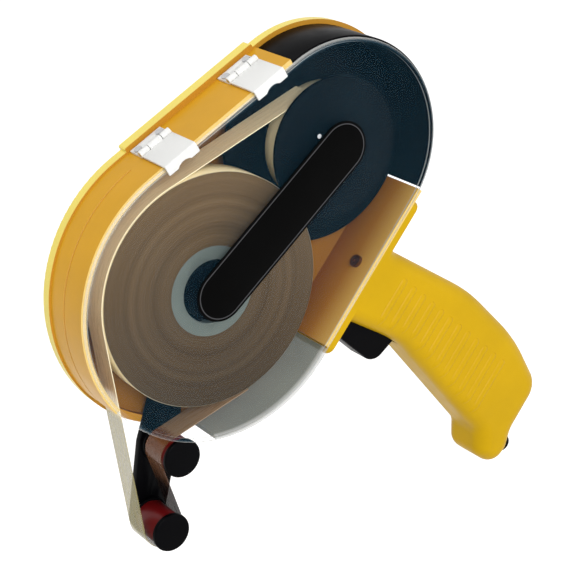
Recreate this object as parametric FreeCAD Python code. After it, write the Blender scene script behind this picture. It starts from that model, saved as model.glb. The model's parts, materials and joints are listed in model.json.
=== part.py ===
import FreeCAD, Part
import math
import os

# Adhesive transfer tape dispenser at real size, in millimetres.
# X points right and Z up as seen from the front, the flat back lies on Y = 0.
# Depth is the distance forward of the back face, so depth d lies on Y = -d.
# The origin is the supply reel's axis on the back face.

V = FreeCAD.Vector
FORWARD = V(0, -1, 0)

# General fits and cuts
RUNNING_FIT = 0.08
SEAT_FIT = 0.05
SIDE_GAP = 0.3
OVERRUN = 1.0

# Tray
LOBE_HEADING = 40.9
SUPPLY_LOBE_RADIUS = 64.5
TAKEUP_LOBE_RADIUS = 49.5
FLOOR = 2.4
WALL = 2.4
RIM_DEPTH = 5.5
RIM_PROUD = 0.8
WALL_END_ANGLE = 218.5
HINGE_WALL_END = 77.0
BRACKET_START = 5.7
BRACKET_PAST = 6.42
SEAM_DEPTH = 17.0
SEAM_WIDTH = 1.0
SEAM_CUT = 0.4
RAIL_START = 6.0
RAIL_END = 76.0
RAIL_PROUD = 2.5
POCKET_DEPTH = 1.4

# Reel guard round the small lobe
GUARD_INSET = 1.2
GUARD_WALL = 1.8
GUARD_FOOT_WIDTH = 7.0
GUARD_FOOT = 1.6
GUARD_END_GAP = 0.7
GUARD_TO_ANGLE = 121.6
GUARD_SCREW_ANGLES = (0.0, 50.0, 100.0)

# Clear cover
COVER_INSET = 0.7
COVER_TAKEUP_INSET = 1.9
COVER_PANEL = 1.8
COVER_WALL = 1.8
COVER_RISE = 2.4
COVER_ROUND = 2.2
COVER_GAP = 0.2
COVER_SWING_GAP = 0.8
COVER_WALL_FROM_ANGLE = 266.5

# Label plate
LABEL_RADIUS = 11.5
LABEL_RISE = 2.4
LABEL_THICKNESS = 0.5

# Hinges
HINGE_CENTRES = (15.0, 63.0)
HINGE_WIDTH = 16.0
HINGE_PIN_DEPTH = 15.5
HINGE_KNUCKLE_RADIUS = 1.6
HINGE_PIN_RADIUS = 0.8
HINGE_LEAF = 1.1
HINGE_BASE_FROM_DEPTH = 7.0
HINGE_KNUCKLE_LENGTH = 4.5
STRAP_WALL_GAP = 0.4
STRAP_REACH = 4.6
STRAP_NOTCH_RADIUS = 5.0
STRAP_NOTCH_DEPTH = 1.4

# Screws
SCREW_HEAD_RADIUS = 2.8
SCREW_HEAD = 1.6
SCREW_SHANK_RADIUS = 1.3
SMALL_HEAD_RADIUS = 1.8
SMALL_HEAD = 1.0
SMALL_SHANK_RADIUS = 0.9
SOCKET_SHARE = 0.4

# Gears
GEAR_THICKNESS = 5.0
SUPPLY_TEETH = 60
IDLER_TEETH = 38
TAKEUP_TEETH = 24
ADDENDUM = 0.8
DEDENDUM = 1.2
TOOTH_WIDTH_SHARE = 0.44
TOOTH_SLOPE = 20.0

# Supply reel
SUPPLY_POST_RADIUS = 4.0
POST_FOOT_RADIUS = 6.5
POST_FOOT = 0.4
SUPPLY_BOSS_RADIUS = 7.0
PLATTER_RADIUS = 29.0
PLATTER = 2.0
PLATTER_SPACER_RADIUS = 23.0
PLATTER_SPACER = 1.4
HUB_RADIUS = 12.4
HUB_RIB = 1.3
HUB_RIB_WIDTH = 2.4
HUB_RIBS = 6
HUB_SCREWS = 3
HUB_SCREW_CIRCLE_RADIUS = 18.0
CORE_INNER_RADIUS = 13.8
CORE_OUTER_RADIUS = 19.6
CORE_PROUD = 0.2
TAPE_WIDTH = 12.7
ROLL_ROOM = 11.1
RETAINER_RADIUS = 6.2
RETAINER_WASHER = 0.8
RETAINER_HEAD_RADIUS = 3.4
RETAINER_HEAD = 1.2
RETAINER_SHANK_LENGTH = 8.0

# Idler
IDLER_POST_RADIUS = 2.5
IDLER_FOOT_RADIUS = 5.0
IDLER_CLIP_RADIUS = 4.4
IDLER_CLIP = 0.7

# Take-up reel
TAKEUP_POST_RADIUS = 3.0
TAKEUP_FOOT_RADIUS = 5.5
FELT_RADIUS = 10.5
FELT = 0.8
SPOOL_HUB_RADIUS = 12.0
REAR_FLANGE_GAP = 1.0
REAR_FLANGE = 1.5
FRONT_FLANGE_RADIUS = 30.5
FRONT_FLANGE = 1.5
WINDING_RADIUS = 26.0
WINDING_ROOM = 3.0
CLUTCH_SPRING_RADIUS = 7.0
CLUTCH_SPRING_BORE = 3.6
CLUTCH_SPRING = 0.8
REEL_ROOM = 2.0

# Nose arm and its two rollers
GUIDE_REACH = 7.88
GUIDE_ANGLE = 255.27
APPLICATOR_REACH = 33.85
APPLICATOR_ANGLE = 259.62
ARM_FOOT_SHARE = 0.5585
ARM_FOOT_ANGLE = 254.38
ARM_THICKNESS = 3.2
ARM_GUIDE_RADIUS = 9.5
ARM_APPLICATOR_RADIUS = 8.0
ARM_FOOT_RADIUS = 7.5
ARM_SCREW_CIRCLE_RADIUS = 3.5
AXLE_RADIUS = 2.0
AXLE_SHORT = 2.0
ROLLER_FLANGE_RADIUS = 8.6
ROLLER_FLANGE = 2.0
ROLLER_SPARE = 3.3
ROLLER_TUBE_RADIUS = 5.0
SLEEVE_RADIUS = 7.7

# Webs
WEB = 0.4
WEB_GAP = 0.35
LINER_LOOP_RADIUS = 11.0

# Handle, drawn along the bracket side
FLANGE = 3.3
FLANGE_START = 3.0
FLANGE_END = 80.0
FLANGE_CORNER = 4.0
HANDLE_REAR_DEPTH = 3.5
HANDLE_FRONT_STEP = 0.9
HANDLE_LENGTH = 134.5
HANDLE_HEIGHT = 62.4
HANDLE_WALL = 2.4
HANDLE_ROUND = 7.0
HANDLE_FILLET = 7.0
HANDLE_BEND = 90.0
HANDLE_ARCH = 60.0
HEEL_ROUND = 7.6
HEEL_BLEND = 12.0
RIB_COUNT = 12
RIB_PITCH = 7.2
RIB_BAR_RADIUS = 2.6
RIB_PROUD = 0.7
RIB_SINK = 1.1
HANDLE_SCREW_SHARES = ((0.245, 0.774), (0.631, 0.609), (0.900, 0.290))
HANDLE_BOSS_RADIUS = 4.2
MOUNT_BOSS_RADIUS = 3.8
MOUNT_BOSS_LENGTH = 12.0
MOUNT_SCREW_ALONG = 44.5
MOUNT_SCREW_OFFSET = 4.3
HEEL_PLUG_RADIUS = 4.5
HEEL_PLUG_PROUD = 7.6
HEEL_PLUG_SHARE = 0.194
HEEL_PLUG_ROUND = 1.5

# Trigger
TRIGGER_WIDTH = 13.0
TRIGGER_FLANGE_GAP = 1.8
TRIGGER_LENGTH = 33.8
TRIGGER_BOTTOM = 10.4
TRIGGER_HEIGHT = 22.6
TRIGGER_HEEL_RISE = 3.6
TRIGGER_TOE_ROUND = 7.0
TRIGGER_EDGE_ROUND = 1.6
TRIGGER_FACE_ROUND = 1.2
TRIGGER_SLOT_GAP = 0.6
TRIGGER_TOE_GAP = 1.8
PIVOT_FROM_FLANGE = 8.2
PIVOT_ALONG = 29.0
PIVOT_RADIUS = 1.6
PIVOT_BOSS = 1.6
LEAF = 0.4
LEAF_BOW = 0.9
LEAF_LENGTH = 10.0
LEAF_WIDTH = 6.0

# Brake
ROD_ALONG = 16.5
ROD_WIDTH = 4.0
ROD_THICKNESS = 3.0
ROD_GAP = 0.25
PEG_FROM_FLANGE = 5.6
PEG_RADIUS = 1.5
PEG_OVERLAP = 3.5
PAD_GAP = 0.35
PAD_LENGTH = 7.0
PAD_WIDTH = 9.0
PAD_BACKING = 4.85
KEEPER_FROM_PAD = 11.0
KEEPER_LENGTH = 7.0
KEEPER_THICKNESS = 1.2
KEEPER_POST_WIDTH = 3.6


# Places worked out from the driving sizes

def polar(centre, radius, angle):
    """A point at an angle in degrees, turning from right to up."""
    turn = math.radians(angle)
    return (centre[0] + radius * math.cos(turn), centre[1] + radius * math.sin(turn))


ROLL_RADIUS = SUPPLY_LOBE_RADIUS - WALL - ROLL_ROOM
LOBE_SPACING = ROLL_RADIUS + WINDING_ROOM + WINDING_RADIUS
SUPPLY = (0.0, 0.0)
TAKEUP = polar(SUPPLY, LOBE_SPACING, LOBE_HEADING)
SIDE_LEAN = math.degrees(math.asin((SUPPLY_LOBE_RADIUS - TAKEUP_LOBE_RADIUS) / LOBE_SPACING))
HINGE_HEADING = LOBE_HEADING - SIDE_LEAN
BRACKET_HEADING = LOBE_HEADING + SIDE_LEAN
BRACKET_END = LOBE_SPACING * math.cos(math.radians(SIDE_LEAN)) + BRACKET_PAST

MODULE = LOBE_SPACING * 2 / (SUPPLY_TEETH + IDLER_TEETH * 2 + TAKEUP_TEETH)
SUPPLY_PITCH_RADIUS = MODULE * SUPPLY_TEETH / 2
SUPPLY_TIP_RADIUS = SUPPLY_PITCH_RADIUS + ADDENDUM * MODULE
IDLER_PITCH_RADIUS = MODULE * IDLER_TEETH / 2
IDLER = polar(SUPPLY, SUPPLY_PITCH_RADIUS + IDLER_PITCH_RADIUS, LOBE_HEADING)

GUARD_RADIUS = TAKEUP_LOBE_RADIUS - GUARD_INSET
GUARD_PAST_ANGLE = math.degrees(math.asin((BRACKET_PAST + GUARD_END_GAP) / (GUARD_RADIUS - GUARD_WALL)))
GUARD_FROM_ANGLE = BRACKET_HEADING - 90 + GUARD_PAST_ANGLE
REAR_FLANGE_RADIUS = GUARD_RADIUS - GUARD_WALL - REAR_FLANGE_GAP
COVER_SUPPLY_RADIUS = SUPPLY_LOBE_RADIUS - COVER_INSET
COVER_TAKEUP_RADIUS = TAKEUP_LOBE_RADIUS - COVER_TAKEUP_INSET

ARM_FOOT_ROOM = SUPPLY_LOBE_RADIUS - WALL - SUPPLY_TIP_RADIUS
ARM_FOOT_CENTRE = polar(SUPPLY, SUPPLY_TIP_RADIUS + ARM_FOOT_ROOM * ARM_FOOT_SHARE, ARM_FOOT_ANGLE)
GUIDE_CENTRE = polar(SUPPLY, SUPPLY_LOBE_RADIUS + GUIDE_REACH, GUIDE_ANGLE)
APPLICATOR_CENTRE = polar(GUIDE_CENTRE, APPLICATOR_REACH, APPLICATOR_ANGLE)

GEAR_NEAR = FLOOR + POST_FOOT + SIDE_GAP
GEAR_FAR = GEAR_NEAR + GEAR_THICKNESS
PLATTER_NEAR = GEAR_FAR + PLATTER_SPACER
PLATTER_FAR = PLATTER_NEAR + PLATTER
TAPE_NEAR = PLATTER_FAR + SIDE_GAP
TAPE_FAR = TAPE_NEAR + TAPE_WIDTH
HUB_FAR = TAPE_FAR + CORE_PROUD
SUPPLY_POST_FAR = HUB_FAR + SIDE_GAP
IDLER_POST_FAR = GEAR_FAR + SIDE_GAP + IDLER_CLIP + SEAT_FIT
SPOOL_NEAR = GEAR_FAR + FELT
FRONT_FLANGE_NEAR = TAPE_FAR + SIDE_GAP
FRONT_FLANGE_FAR = FRONT_FLANGE_NEAR + FRONT_FLANGE
TAKEUP_POST_FAR = FRONT_FLANGE_FAR + CLUTCH_SPRING + SIDE_GAP
BODY_DEPTH = TAKEUP_POST_FAR + RETAINER_WASHER + RETAINER_HEAD + REEL_ROOM
COVER_NEAR = BODY_DEPTH + COVER_GAP
COVER_FAR = COVER_NEAR + COVER_RISE

HANDLE_THICKNESS = BODY_DEPTH - HANDLE_REAR_DEPTH - HANDLE_FRONT_STEP
HANDLE_FRONT_DEPTH = HANDLE_REAR_DEPTH + HANDLE_THICKNESS
SPLIT_DEPTH = HANDLE_REAR_DEPTH + HANDLE_THICKNESS / 2
HEEL_END = SUPPLY_LOBE_RADIUS + HANDLE_LENGTH
HEEL_PLUG_ALONG = HEEL_PLUG_SHARE * HANDLE_HEIGHT
FLANGE_FACE = SUPPLY_LOBE_RADIUS + FLANGE
PIVOT_OUT = FLANGE_FACE + PIVOT_FROM_FLANGE
PEG_OUT = FLANGE_FACE + PEG_FROM_FLANGE
PAD_FACE_RADIUS = SUPPLY_TIP_RADIUS + PAD_GAP
PAD_BACK_OUT = PAD_FACE_RADIUS + PAD_BACKING
KEEPER_OUT = PAD_BACK_OUT + KEEPER_FROM_PAD

ROLLER_LENGTH = ROLLER_FLANGE * 2 + TAPE_WIDTH + ROLLER_SPARE
ARM_NEAR = RIM_DEPTH
ARM_FAR = ARM_NEAR + ARM_THICKNESS
ROLLER_NEAR = ARM_FAR + SIDE_GAP
ROLLER_FAR = ROLLER_NEAR + ROLLER_LENGTH
TRIGGER_NEAR = SPLIT_DEPTH - TRIGGER_WIDTH / 2
TRIGGER_FAR = SPLIT_DEPTH + TRIGGER_WIDTH / 2
ROD_NEAR = FLOOR + ROD_GAP
ROD_FAR = ROD_NEAR + ROD_THICKNESS


def hinge_side(along, out):
    """A point along the hinge side, measured from the supply axis."""
    return polar(polar(SUPPLY, along, HINGE_HEADING), out, HINGE_HEADING + 90)


def bracket_side(out, along):
    """A point out from the bracket side and up along it, from the supply axis."""
    return polar(polar(SUPPLY, along, BRACKET_HEADING), out, BRACKET_HEADING - 90)


# Shapes

def at(place, depth):
    return V(place[0], -depth, place[1])


def line(start, end, depth):
    return Part.LineSegment(at(start, depth), at(end, depth)).toShape()


def arc(start, middle, end, depth):
    return Part.Arc(at(start, depth), at(middle, depth), at(end, depth)).toShape()


def push(wire, near, far):
    """The closed outline drawn at depth near, pushed forward to depth far."""
    return Part.Face(wire).extrude(FORWARD * (far - near))


def disc(centre, radius, near, far):
    return Part.makeCylinder(radius, far - near, at(centre, near), FORWARD)


def ring(centre, outer, inner, near, far):
    return disc(centre, outer, near, far).cut(disc(centre, inner, near - OVERRUN, far + OVERRUN))


def pill(centre_a, radius_a, centre_b, radius_b, near, far):
    """Two circles of any size and the straight sides that touch both."""
    spacing = math.dist(centre_a, centre_b)
    heading = math.degrees(math.atan2(centre_b[1] - centre_a[1], centre_b[0] - centre_a[0]))
    open_angle = math.degrees(math.acos((radius_a - radius_b) / spacing))
    left_a = polar(centre_a, radius_a, heading + open_angle)
    left_b = polar(centre_b, radius_b, heading + open_angle)
    right_a = polar(centre_a, radius_a, heading - open_angle)
    right_b = polar(centre_b, radius_b, heading - open_angle)
    edges = [line(left_a, left_b, near)]
    edges.append(arc(left_b, polar(centre_b, radius_b, heading), right_b, near))
    edges.append(line(right_b, right_a, near))
    edges.append(arc(right_a, polar(centre_a, radius_a, heading + 180), left_a, near))
    return push(Part.Wire(edges), near, far)


def lobes(grow, near, far):
    """The tray's outline, grown or shrunk, between two depths."""
    return pill(SUPPLY, SUPPLY_LOBE_RADIUS + grow, TAKEUP, TAKEUP_LOBE_RADIUS + grow, near, far)


def rounded_wire(corners, depth):
    """A closed outline through corners (x, z, radius), each rounded by its radius."""
    count = len(corners)
    joints = []
    for index in range(count):
        before = corners[index - 1]
        here = corners[index]
        after = corners[(index + 1) % count]
        to_before = V(before[0] - here[0], 0, before[1] - here[1]).normalize()
        to_after = V(after[0] - here[0], 0, after[1] - here[1]).normalize()
        half = to_before.getAngle(to_after) / 2
        reach = here[2] / math.tan(half)
        inward = (to_before + to_after).normalize()
        depth_of_arc = here[2] / math.sin(half) - here[2]
        corner = at(here, depth)
        joints.append((corner + to_before * reach, corner + inward * depth_of_arc,
                       corner + to_after * reach))
    edges = []
    for index in range(count):
        start, middle, end = joints[index]
        if corners[index][2] > 0:
            edges.append(Part.Arc(start, middle, end).toShape())
        edges.append(Part.LineSegment(end, joints[(index + 1) % count][0]).toShape())
    return Part.Wire(edges)


def block(side, low, high, near, far, rounding=0.0):
    """A straight block between two corners of a side's own frame."""
    corners = ((low[0], low[1]), (high[0], low[1]), (high[0], high[1]), (low[0], high[1]))
    placed = [(*side(*corner), rounding) for corner in corners]
    return push(rounded_wire(placed, near), near, far)


def wedge(centre, from_angle, to_angle, radius, near, far):
    """A slice of a disc between two angles, turning from right to up."""
    start = polar(centre, radius, from_angle)
    middle = polar(centre, radius, (from_angle + to_angle) / 2)
    end = polar(centre, radius, to_angle)
    edges = [line(centre, start, near), arc(start, middle, end, near), line(end, centre, near)]
    return push(Part.Wire(edges), near, far)


def edges_where(shape, test):
    """The edges of a shape whose every point on a coarse walk passes the test."""
    found = []
    for edge in shape.Edges:
        if all(test(spot) for spot in edge.discretize(5)):
            found.append(edge)
    return found


def rounded_at_depth(shape, depth, radius):
    """The shape with the edges that lie flat at one depth rounded."""
    flat = edges_where(shape, lambda spot: abs(-spot.y - depth) < SEAT_FIT)
    return shape.makeFillet(radius, flat)


def fused(shapes):
    """Several overlapping shapes joined into one solid."""
    return shapes[0].multiFuse(shapes[1:]).removeSplitter()


def screw(centre, near, head_near, head_radius, head, shank_radius):
    """A round-headed screw whose shank starts at depth near and points back."""
    shank = disc(centre, shank_radius, near, head_near + head / 2)
    cap = rounded_at_depth(disc(centre, head_radius, head_near, head_near + head),
                           head_near + head, head * SOCKET_SHARE)
    socket = disc(centre, shank_radius, head_near + head * SOCKET_SHARE, head_near + head + OVERRUN)
    return shank.fuse(cap.cut(socket)).removeSplitter()


def gear(centre, teeth, bore, tooth_angle):
    """A spur gear with straight-flanked teeth, one of them centred on tooth_angle."""
    pitch_radius = MODULE * teeth / 2
    tip = pitch_radius + ADDENDUM * MODULE
    root = pitch_radius - DEDENDUM * MODULE
    half_pitch_width = math.pi * MODULE * TOOTH_WIDTH_SHARE / 2
    slope = math.tan(math.radians(TOOTH_SLOPE))
    half_tip = math.degrees((half_pitch_width - (tip - pitch_radius) * slope) / tip)
    half_root = math.degrees((half_pitch_width + (pitch_radius - root) * slope) / root)
    outline = []
    for index in range(teeth):
        middle = tooth_angle + index * 360 / teeth
        outline.append(polar(centre, root, middle - half_root))
        outline.append(polar(centre, tip, middle - half_tip))
        outline.append(polar(centre, tip, middle + half_tip))
        outline.append(polar(centre, root, middle + half_root))
    corners = [at(place, GEAR_NEAR) for place in outline]
    blank = push(Part.makePolygon(corners + corners[:1]), GEAR_NEAR, GEAR_FAR)
    return blank.cut(disc(centre, bore, GEAR_NEAR - OVERRUN, GEAR_FAR + OVERRUN))


# Tray and its fixed parts

def guard_screw_places():
    circle = GUARD_RADIUS - GUARD_WALL - GUARD_FOOT_WIDTH / 2
    return [polar(TAKEUP, circle, angle) for angle in GUARD_SCREW_ANGLES]


def arm_screw_places():
    return [polar(ARM_FOOT_CENTRE, ARM_SCREW_CIRCLE_RADIUS, ARM_FOOT_ANGLE + turn) for turn in (90, -90)]


def keeper_screw_places():
    offset = (ROD_WIDTH + KEEPER_POST_WIDTH) / 2 + ROD_GAP
    return [bracket_side(KEEPER_OUT, ROD_ALONG + side * offset) for side in (-1, 1)]


def keeper_post(side):
    """A rib on the floor that guides one flank of the brake rod."""
    inner = ROD_ALONG + side * (ROD_WIDTH / 2 + ROD_GAP)
    outer = inner + side * KEEPER_POST_WIDTH
    low = (KEEPER_OUT - KEEPER_LENGTH / 2, min(inner, outer))
    high = (KEEPER_OUT + KEEPER_LENGTH / 2, max(inner, outer))
    return block(bracket_side, low, high, FLOOR - POCKET_DEPTH / 2, ROD_FAR + ROD_GAP)


def mount_cylinder(radius, start, end):
    """A cylinder square to the bracket wall, on the mounting screw's axis."""
    base = at(bracket_side(start, MOUNT_SCREW_ALONG), SPLIT_DEPTH + MOUNT_SCREW_OFFSET)
    direction = at(bracket_side(end, MOUNT_SCREW_ALONG), SPLIT_DEPTH + MOUNT_SCREW_OFFSET) - base
    return Part.makeCylinder(radius, direction.Length, base, direction)


def rod_slot(start, end):
    """The opening that lets the brake rod through a wall of the bracket side."""
    low = (start, ROD_ALONG - ROD_WIDTH / 2 - ROD_GAP)
    high = (end, ROD_ALONG + ROD_WIDTH / 2 + ROD_GAP)
    return block(bracket_side, low, high, ROD_NEAR - ROD_GAP, ROD_FAR + ROD_GAP)


def hinge_rivet_places():
    offset = HINGE_WIDTH / 2 - HINGE_KNUCKLE_LENGTH / 2
    places = []
    for centre in HINGE_CENTRES:
        places.extend((centre - offset, centre + offset))
    return places


def hinge_rivet_axis(along, out_from, out_to, radius):
    """A cylinder square to the hinge wall, midway up the hinge's base leaf."""
    depth = (HINGE_BASE_FROM_DEPTH + HINGE_PIN_DEPTH - HINGE_KNUCKLE_RADIUS) / 2
    base = at(hinge_side(along, out_from), depth)
    direction = at(hinge_side(along, out_to), depth) - base
    return Part.makeCylinder(radius, direction.Length, base, direction)


def housing_shell():
    floor = lobes(0, 0, FLOOR)
    rim = lobes(RIM_PROUD, 0, RIM_DEPTH)
    rim = rounded_at_depth(rim, 0, RIM_PROUD)
    rim = rim.cut(lobes(-WALL, FLOOR, RIM_DEPTH + OVERRUN))
    band = lobes(0, FLOOR, BODY_DEPTH).cut(lobes(-WALL, FLOOR - OVERRUN, BODY_DEPTH + OVERRUN))
    reach = SUPPLY_LOBE_RADIUS + TAKEUP_LOBE_RADIUS
    kept_arc = wedge(SUPPLY, HINGE_HEADING + 90, WALL_END_ANGLE, reach, 0, BODY_DEPTH + OVERRUN)
    kept_side = block(hinge_side, (0, SUPPLY_LOBE_RADIUS / 2), (HINGE_WALL_END, reach),
                      0, BODY_DEPTH + OVERRUN)
    high_wall = band.common(kept_arc.fuse(kept_side))
    seam = lobes(WALL, SEAM_DEPTH - SEAM_WIDTH / 2, SEAM_DEPTH + SEAM_WIDTH / 2)
    seam = seam.cut(lobes(-SEAM_CUT, 0, BODY_DEPTH)).common(kept_arc)
    high_wall = high_wall.cut(seam)
    bracket = block(bracket_side, (SUPPLY_LOBE_RADIUS - WALL, BRACKET_START),
                    (SUPPLY_LOBE_RADIUS, BRACKET_END), 0, BODY_DEPTH)
    rail = block(hinge_side, (RAIL_START, SUPPLY_LOBE_RADIUS - WALL),
                 (RAIL_END, SUPPLY_LOBE_RADIUS + RAIL_PROUD), 0, RIM_DEPTH, RIM_PROUD)
    posts = [keeper_post(-1), keeper_post(1)]
    shell = fused([floor, rim, high_wall, bracket, rail] + posts)
    shell = shell.cut(block(bracket_side, (SUPPLY_LOBE_RADIUS, FLANGE_START - SIDE_GAP),
                            (FLANGE_FACE + OVERRUN, FLANGE_END + SIDE_GAP),
                            -OVERRUN, BODY_DEPTH + OVERRUN))
    shell = shell.cut(rod_slot(SUPPLY_LOBE_RADIUS - WALL - OVERRUN, SUPPLY_LOBE_RADIUS + OVERRUN))
    shell = shell.cut(mount_cylinder(SCREW_SHANK_RADIUS + SEAT_FIT,
                                     SUPPLY_LOBE_RADIUS - WALL - OVERRUN, FLANGE_FACE))
    for centre, radius in ((SUPPLY, SUPPLY_POST_RADIUS), (IDLER, IDLER_POST_RADIUS),
                           (TAKEUP, TAKEUP_POST_RADIUS)):
        shell = shell.cut(disc(centre, radius + SEAT_FIT, FLOOR - POCKET_DEPTH, FLOOR + OVERRUN))
    for place in guard_screw_places() + arm_screw_places():
        shell = shell.cut(disc(place, SMALL_SHANK_RADIUS + SEAT_FIT,
                               FLOOR - POCKET_DEPTH, FLOOR + OVERRUN))
    for place in keeper_screw_places():
        shell = shell.cut(disc(place, SMALL_SHANK_RADIUS + SEAT_FIT,
                               FLOOR, ROD_FAR + ROD_GAP + OVERRUN))
    for along in hinge_rivet_places():
        shell = shell.cut(hinge_rivet_axis(along, SUPPLY_LOBE_RADIUS - WALL - OVERRUN,
                                           SUPPLY_LOBE_RADIUS + OVERRUN,
                                           SMALL_SHANK_RADIUS + SEAT_FIT))
    return shell


def reel_guard():
    wall = ring(TAKEUP, GUARD_RADIUS, GUARD_RADIUS - GUARD_WALL, FLOOR, BODY_DEPTH)
    foot = ring(TAKEUP, GUARD_RADIUS, GUARD_RADIUS - GUARD_WALL - GUARD_FOOT_WIDTH,
                FLOOR, FLOOR + GUARD_FOOT)
    span = wedge(TAKEUP, GUARD_FROM_ANGLE, GUARD_TO_ANGLE, GUARD_RADIUS + OVERRUN,
                 0, BODY_DEPTH + OVERRUN)
    guard = wall.fuse(foot).common(span).removeSplitter()
    guard = guard.cut(lobes_outside_cut())
    for place in guard_screw_places():
        guard = guard.cut(disc(place, SMALL_SHANK_RADIUS + SEAT_FIT, 0, BODY_DEPTH))
    return guard


def lobes_outside_cut():
    """What keeps the guard's foot clear of the rim's inner face."""
    rim_space = lobes(RIM_PROUD, 0, RIM_DEPTH)
    return rim_space.cut(lobes(-WALL - SEAT_FIT, -OVERRUN, RIM_DEPTH + OVERRUN))


def guard_screws():
    made = [screw(place, FLOOR - POCKET_DEPTH + SEAT_FIT, FLOOR + GUARD_FOOT,
                  SMALL_HEAD_RADIUS, SMALL_HEAD, SMALL_SHANK_RADIUS)
            for place in guard_screw_places()]
    return Part.makeCompound(made)


# Cover, label and hinges

def cover_outline(shrink, near, far):
    return pill(SUPPLY, COVER_SUPPLY_RADIUS - shrink, TAKEUP, COVER_TAKEUP_RADIUS - shrink, near, far)


def clear_cover():
    shell = rounded_at_depth(cover_outline(0, COVER_NEAR, COVER_FAR), COVER_FAR, COVER_ROUND)
    shell = shell.cut(cover_outline(COVER_WALL, COVER_NEAR - OVERRUN, COVER_FAR - COVER_PANEL))
    near = RIM_DEPTH + SIDE_GAP
    side = ring(SUPPLY, COVER_SUPPLY_RADIUS, COVER_SUPPLY_RADIUS - COVER_WALL,
                near, COVER_FAR - COVER_ROUND)
    side = side.common(wedge(SUPPLY, COVER_WALL_FROM_ANGLE, BRACKET_HEADING + 270,
                             SUPPLY_LOBE_RADIUS + OVERRUN, near, COVER_FAR))
    straight = block(bracket_side, (COVER_SUPPLY_RADIUS - COVER_WALL, -COVER_WALL),
                     (COVER_SUPPLY_RADIUS, BRACKET_START - COVER_SWING_GAP), near, COVER_FAR - COVER_ROUND)
    shell = fused([shell, side, straight])
    return shell


def label_plate():
    shift = polar((0, 0), LABEL_RISE, LOBE_HEADING + 90)
    low = (SUPPLY[0] + shift[0], SUPPLY[1] + shift[1])
    high = (TAKEUP[0] + shift[0], TAKEUP[1] + shift[1])
    return pill(low, LABEL_RADIUS, high, LABEL_RADIUS, COVER_FAR, COVER_FAR + LABEL_THICKNESS)


def along_hinge(profile, start, end):
    """A profile of (out, depth) points pushed along the hinge side."""
    corners = [at(hinge_side(start, out), depth) for out, depth in profile]
    direction = at(hinge_side(end, 0), 0) - at(hinge_side(start, 0), 0)
    return Part.Face(Part.makePolygon(corners + corners[:1])).extrude(direction)


def hinge_cylinder(radius, start, end):
    """A cylinder on the hinge axis between two places along the hinge side."""
    out = SUPPLY_LOBE_RADIUS + HINGE_KNUCKLE_RADIUS
    base = at(hinge_side(start, out), HINGE_PIN_DEPTH)
    direction = at(hinge_side(end, out), HINGE_PIN_DEPTH) - base
    return Part.makeCylinder(radius, direction.Length, base, direction)


def hinge_base(centre):
    start = centre - HINGE_WIDTH / 2
    end = centre + HINGE_WIDTH / 2
    wall = SUPPLY_LOBE_RADIUS
    plate = ((wall, HINGE_BASE_FROM_DEPTH), (wall + HINGE_LEAF, HINGE_BASE_FROM_DEPTH),
             (wall + HINGE_LEAF, HINGE_PIN_DEPTH), (wall, HINGE_PIN_DEPTH))
    base = along_hinge(plate, start, end)
    middle_from = start + HINGE_KNUCKLE_LENGTH
    middle_to = end - HINGE_KNUCKLE_LENGTH
    base = base.cut(hinge_cylinder(HINGE_KNUCKLE_RADIUS + SIDE_GAP, middle_from, middle_to))
    base = fused([base, hinge_cylinder(HINGE_KNUCKLE_RADIUS, start, middle_from),
                  hinge_cylinder(HINGE_KNUCKLE_RADIUS, middle_to, end)])
    base = base.cut(hinge_cylinder(HINGE_PIN_RADIUS + SEAT_FIT, start - OVERRUN, end + OVERRUN))
    for along in hinge_rivet_places():
        base = base.cut(hinge_rivet_axis(along, wall - OVERRUN, wall + HINGE_LEAF + OVERRUN,
                                         SMALL_SHANK_RADIUS + SEAT_FIT))
    return base


def hinge_strap(centre):
    start = centre - HINGE_WIDTH / 2
    end = centre + HINGE_WIDTH / 2
    inner = SUPPLY_LOBE_RADIUS + STRAP_WALL_GAP
    outer = inner + HINGE_LEAF
    full_from = HINGE_PIN_DEPTH + HINGE_KNUCKLE_RADIUS + SIDE_GAP
    top = COVER_FAR + HINGE_LEAF
    profile = ((inner, full_from), (outer, full_from), (outer, top - HINGE_LEAF / 2),
               (outer - HINGE_LEAF / 2, top), (outer - STRAP_REACH, top),
               (outer - STRAP_REACH, COVER_FAR), (inner, COVER_FAR))
    strap = along_hinge(profile, start, end)
    notch_out = outer - STRAP_REACH + STRAP_NOTCH_DEPTH - STRAP_NOTCH_RADIUS
    strap = strap.cut(disc(hinge_side(centre, notch_out), STRAP_NOTCH_RADIUS,
                           COVER_FAR - OVERRUN, top + OVERRUN))
    tongue = ((inner, HINGE_PIN_DEPTH), (outer, HINGE_PIN_DEPTH), (outer, full_from + OVERRUN),
              (inner, full_from + OVERRUN))
    middle_from = start + HINGE_KNUCKLE_LENGTH + SIDE_GAP
    middle_to = end - HINGE_KNUCKLE_LENGTH - SIDE_GAP
    strap = fused([strap, along_hinge(tongue, middle_from, middle_to),
                   hinge_cylinder(HINGE_KNUCKLE_RADIUS, middle_from, middle_to)])
    return strap.cut(hinge_cylinder(HINGE_PIN_RADIUS + RUNNING_FIT, start, end))


def hinge_pin(centre):
    return hinge_cylinder(HINGE_PIN_RADIUS, centre - HINGE_WIDTH / 2, centre + HINGE_WIDTH / 2)


def hinge_rivets():
    face = SUPPLY_LOBE_RADIUS + HINGE_LEAF
    made = []
    for along in hinge_rivet_places():
        shank = hinge_rivet_axis(along, SUPPLY_LOBE_RADIUS - WALL, face, SMALL_SHANK_RADIUS)
        head = hinge_rivet_axis(along, face, face + HINGE_LEAF / 2, SMALL_HEAD_RADIUS)
        made.append(shank.fuse(head).removeSplitter())
    return Part.makeCompound(made)


# Reels and their gears

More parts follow.
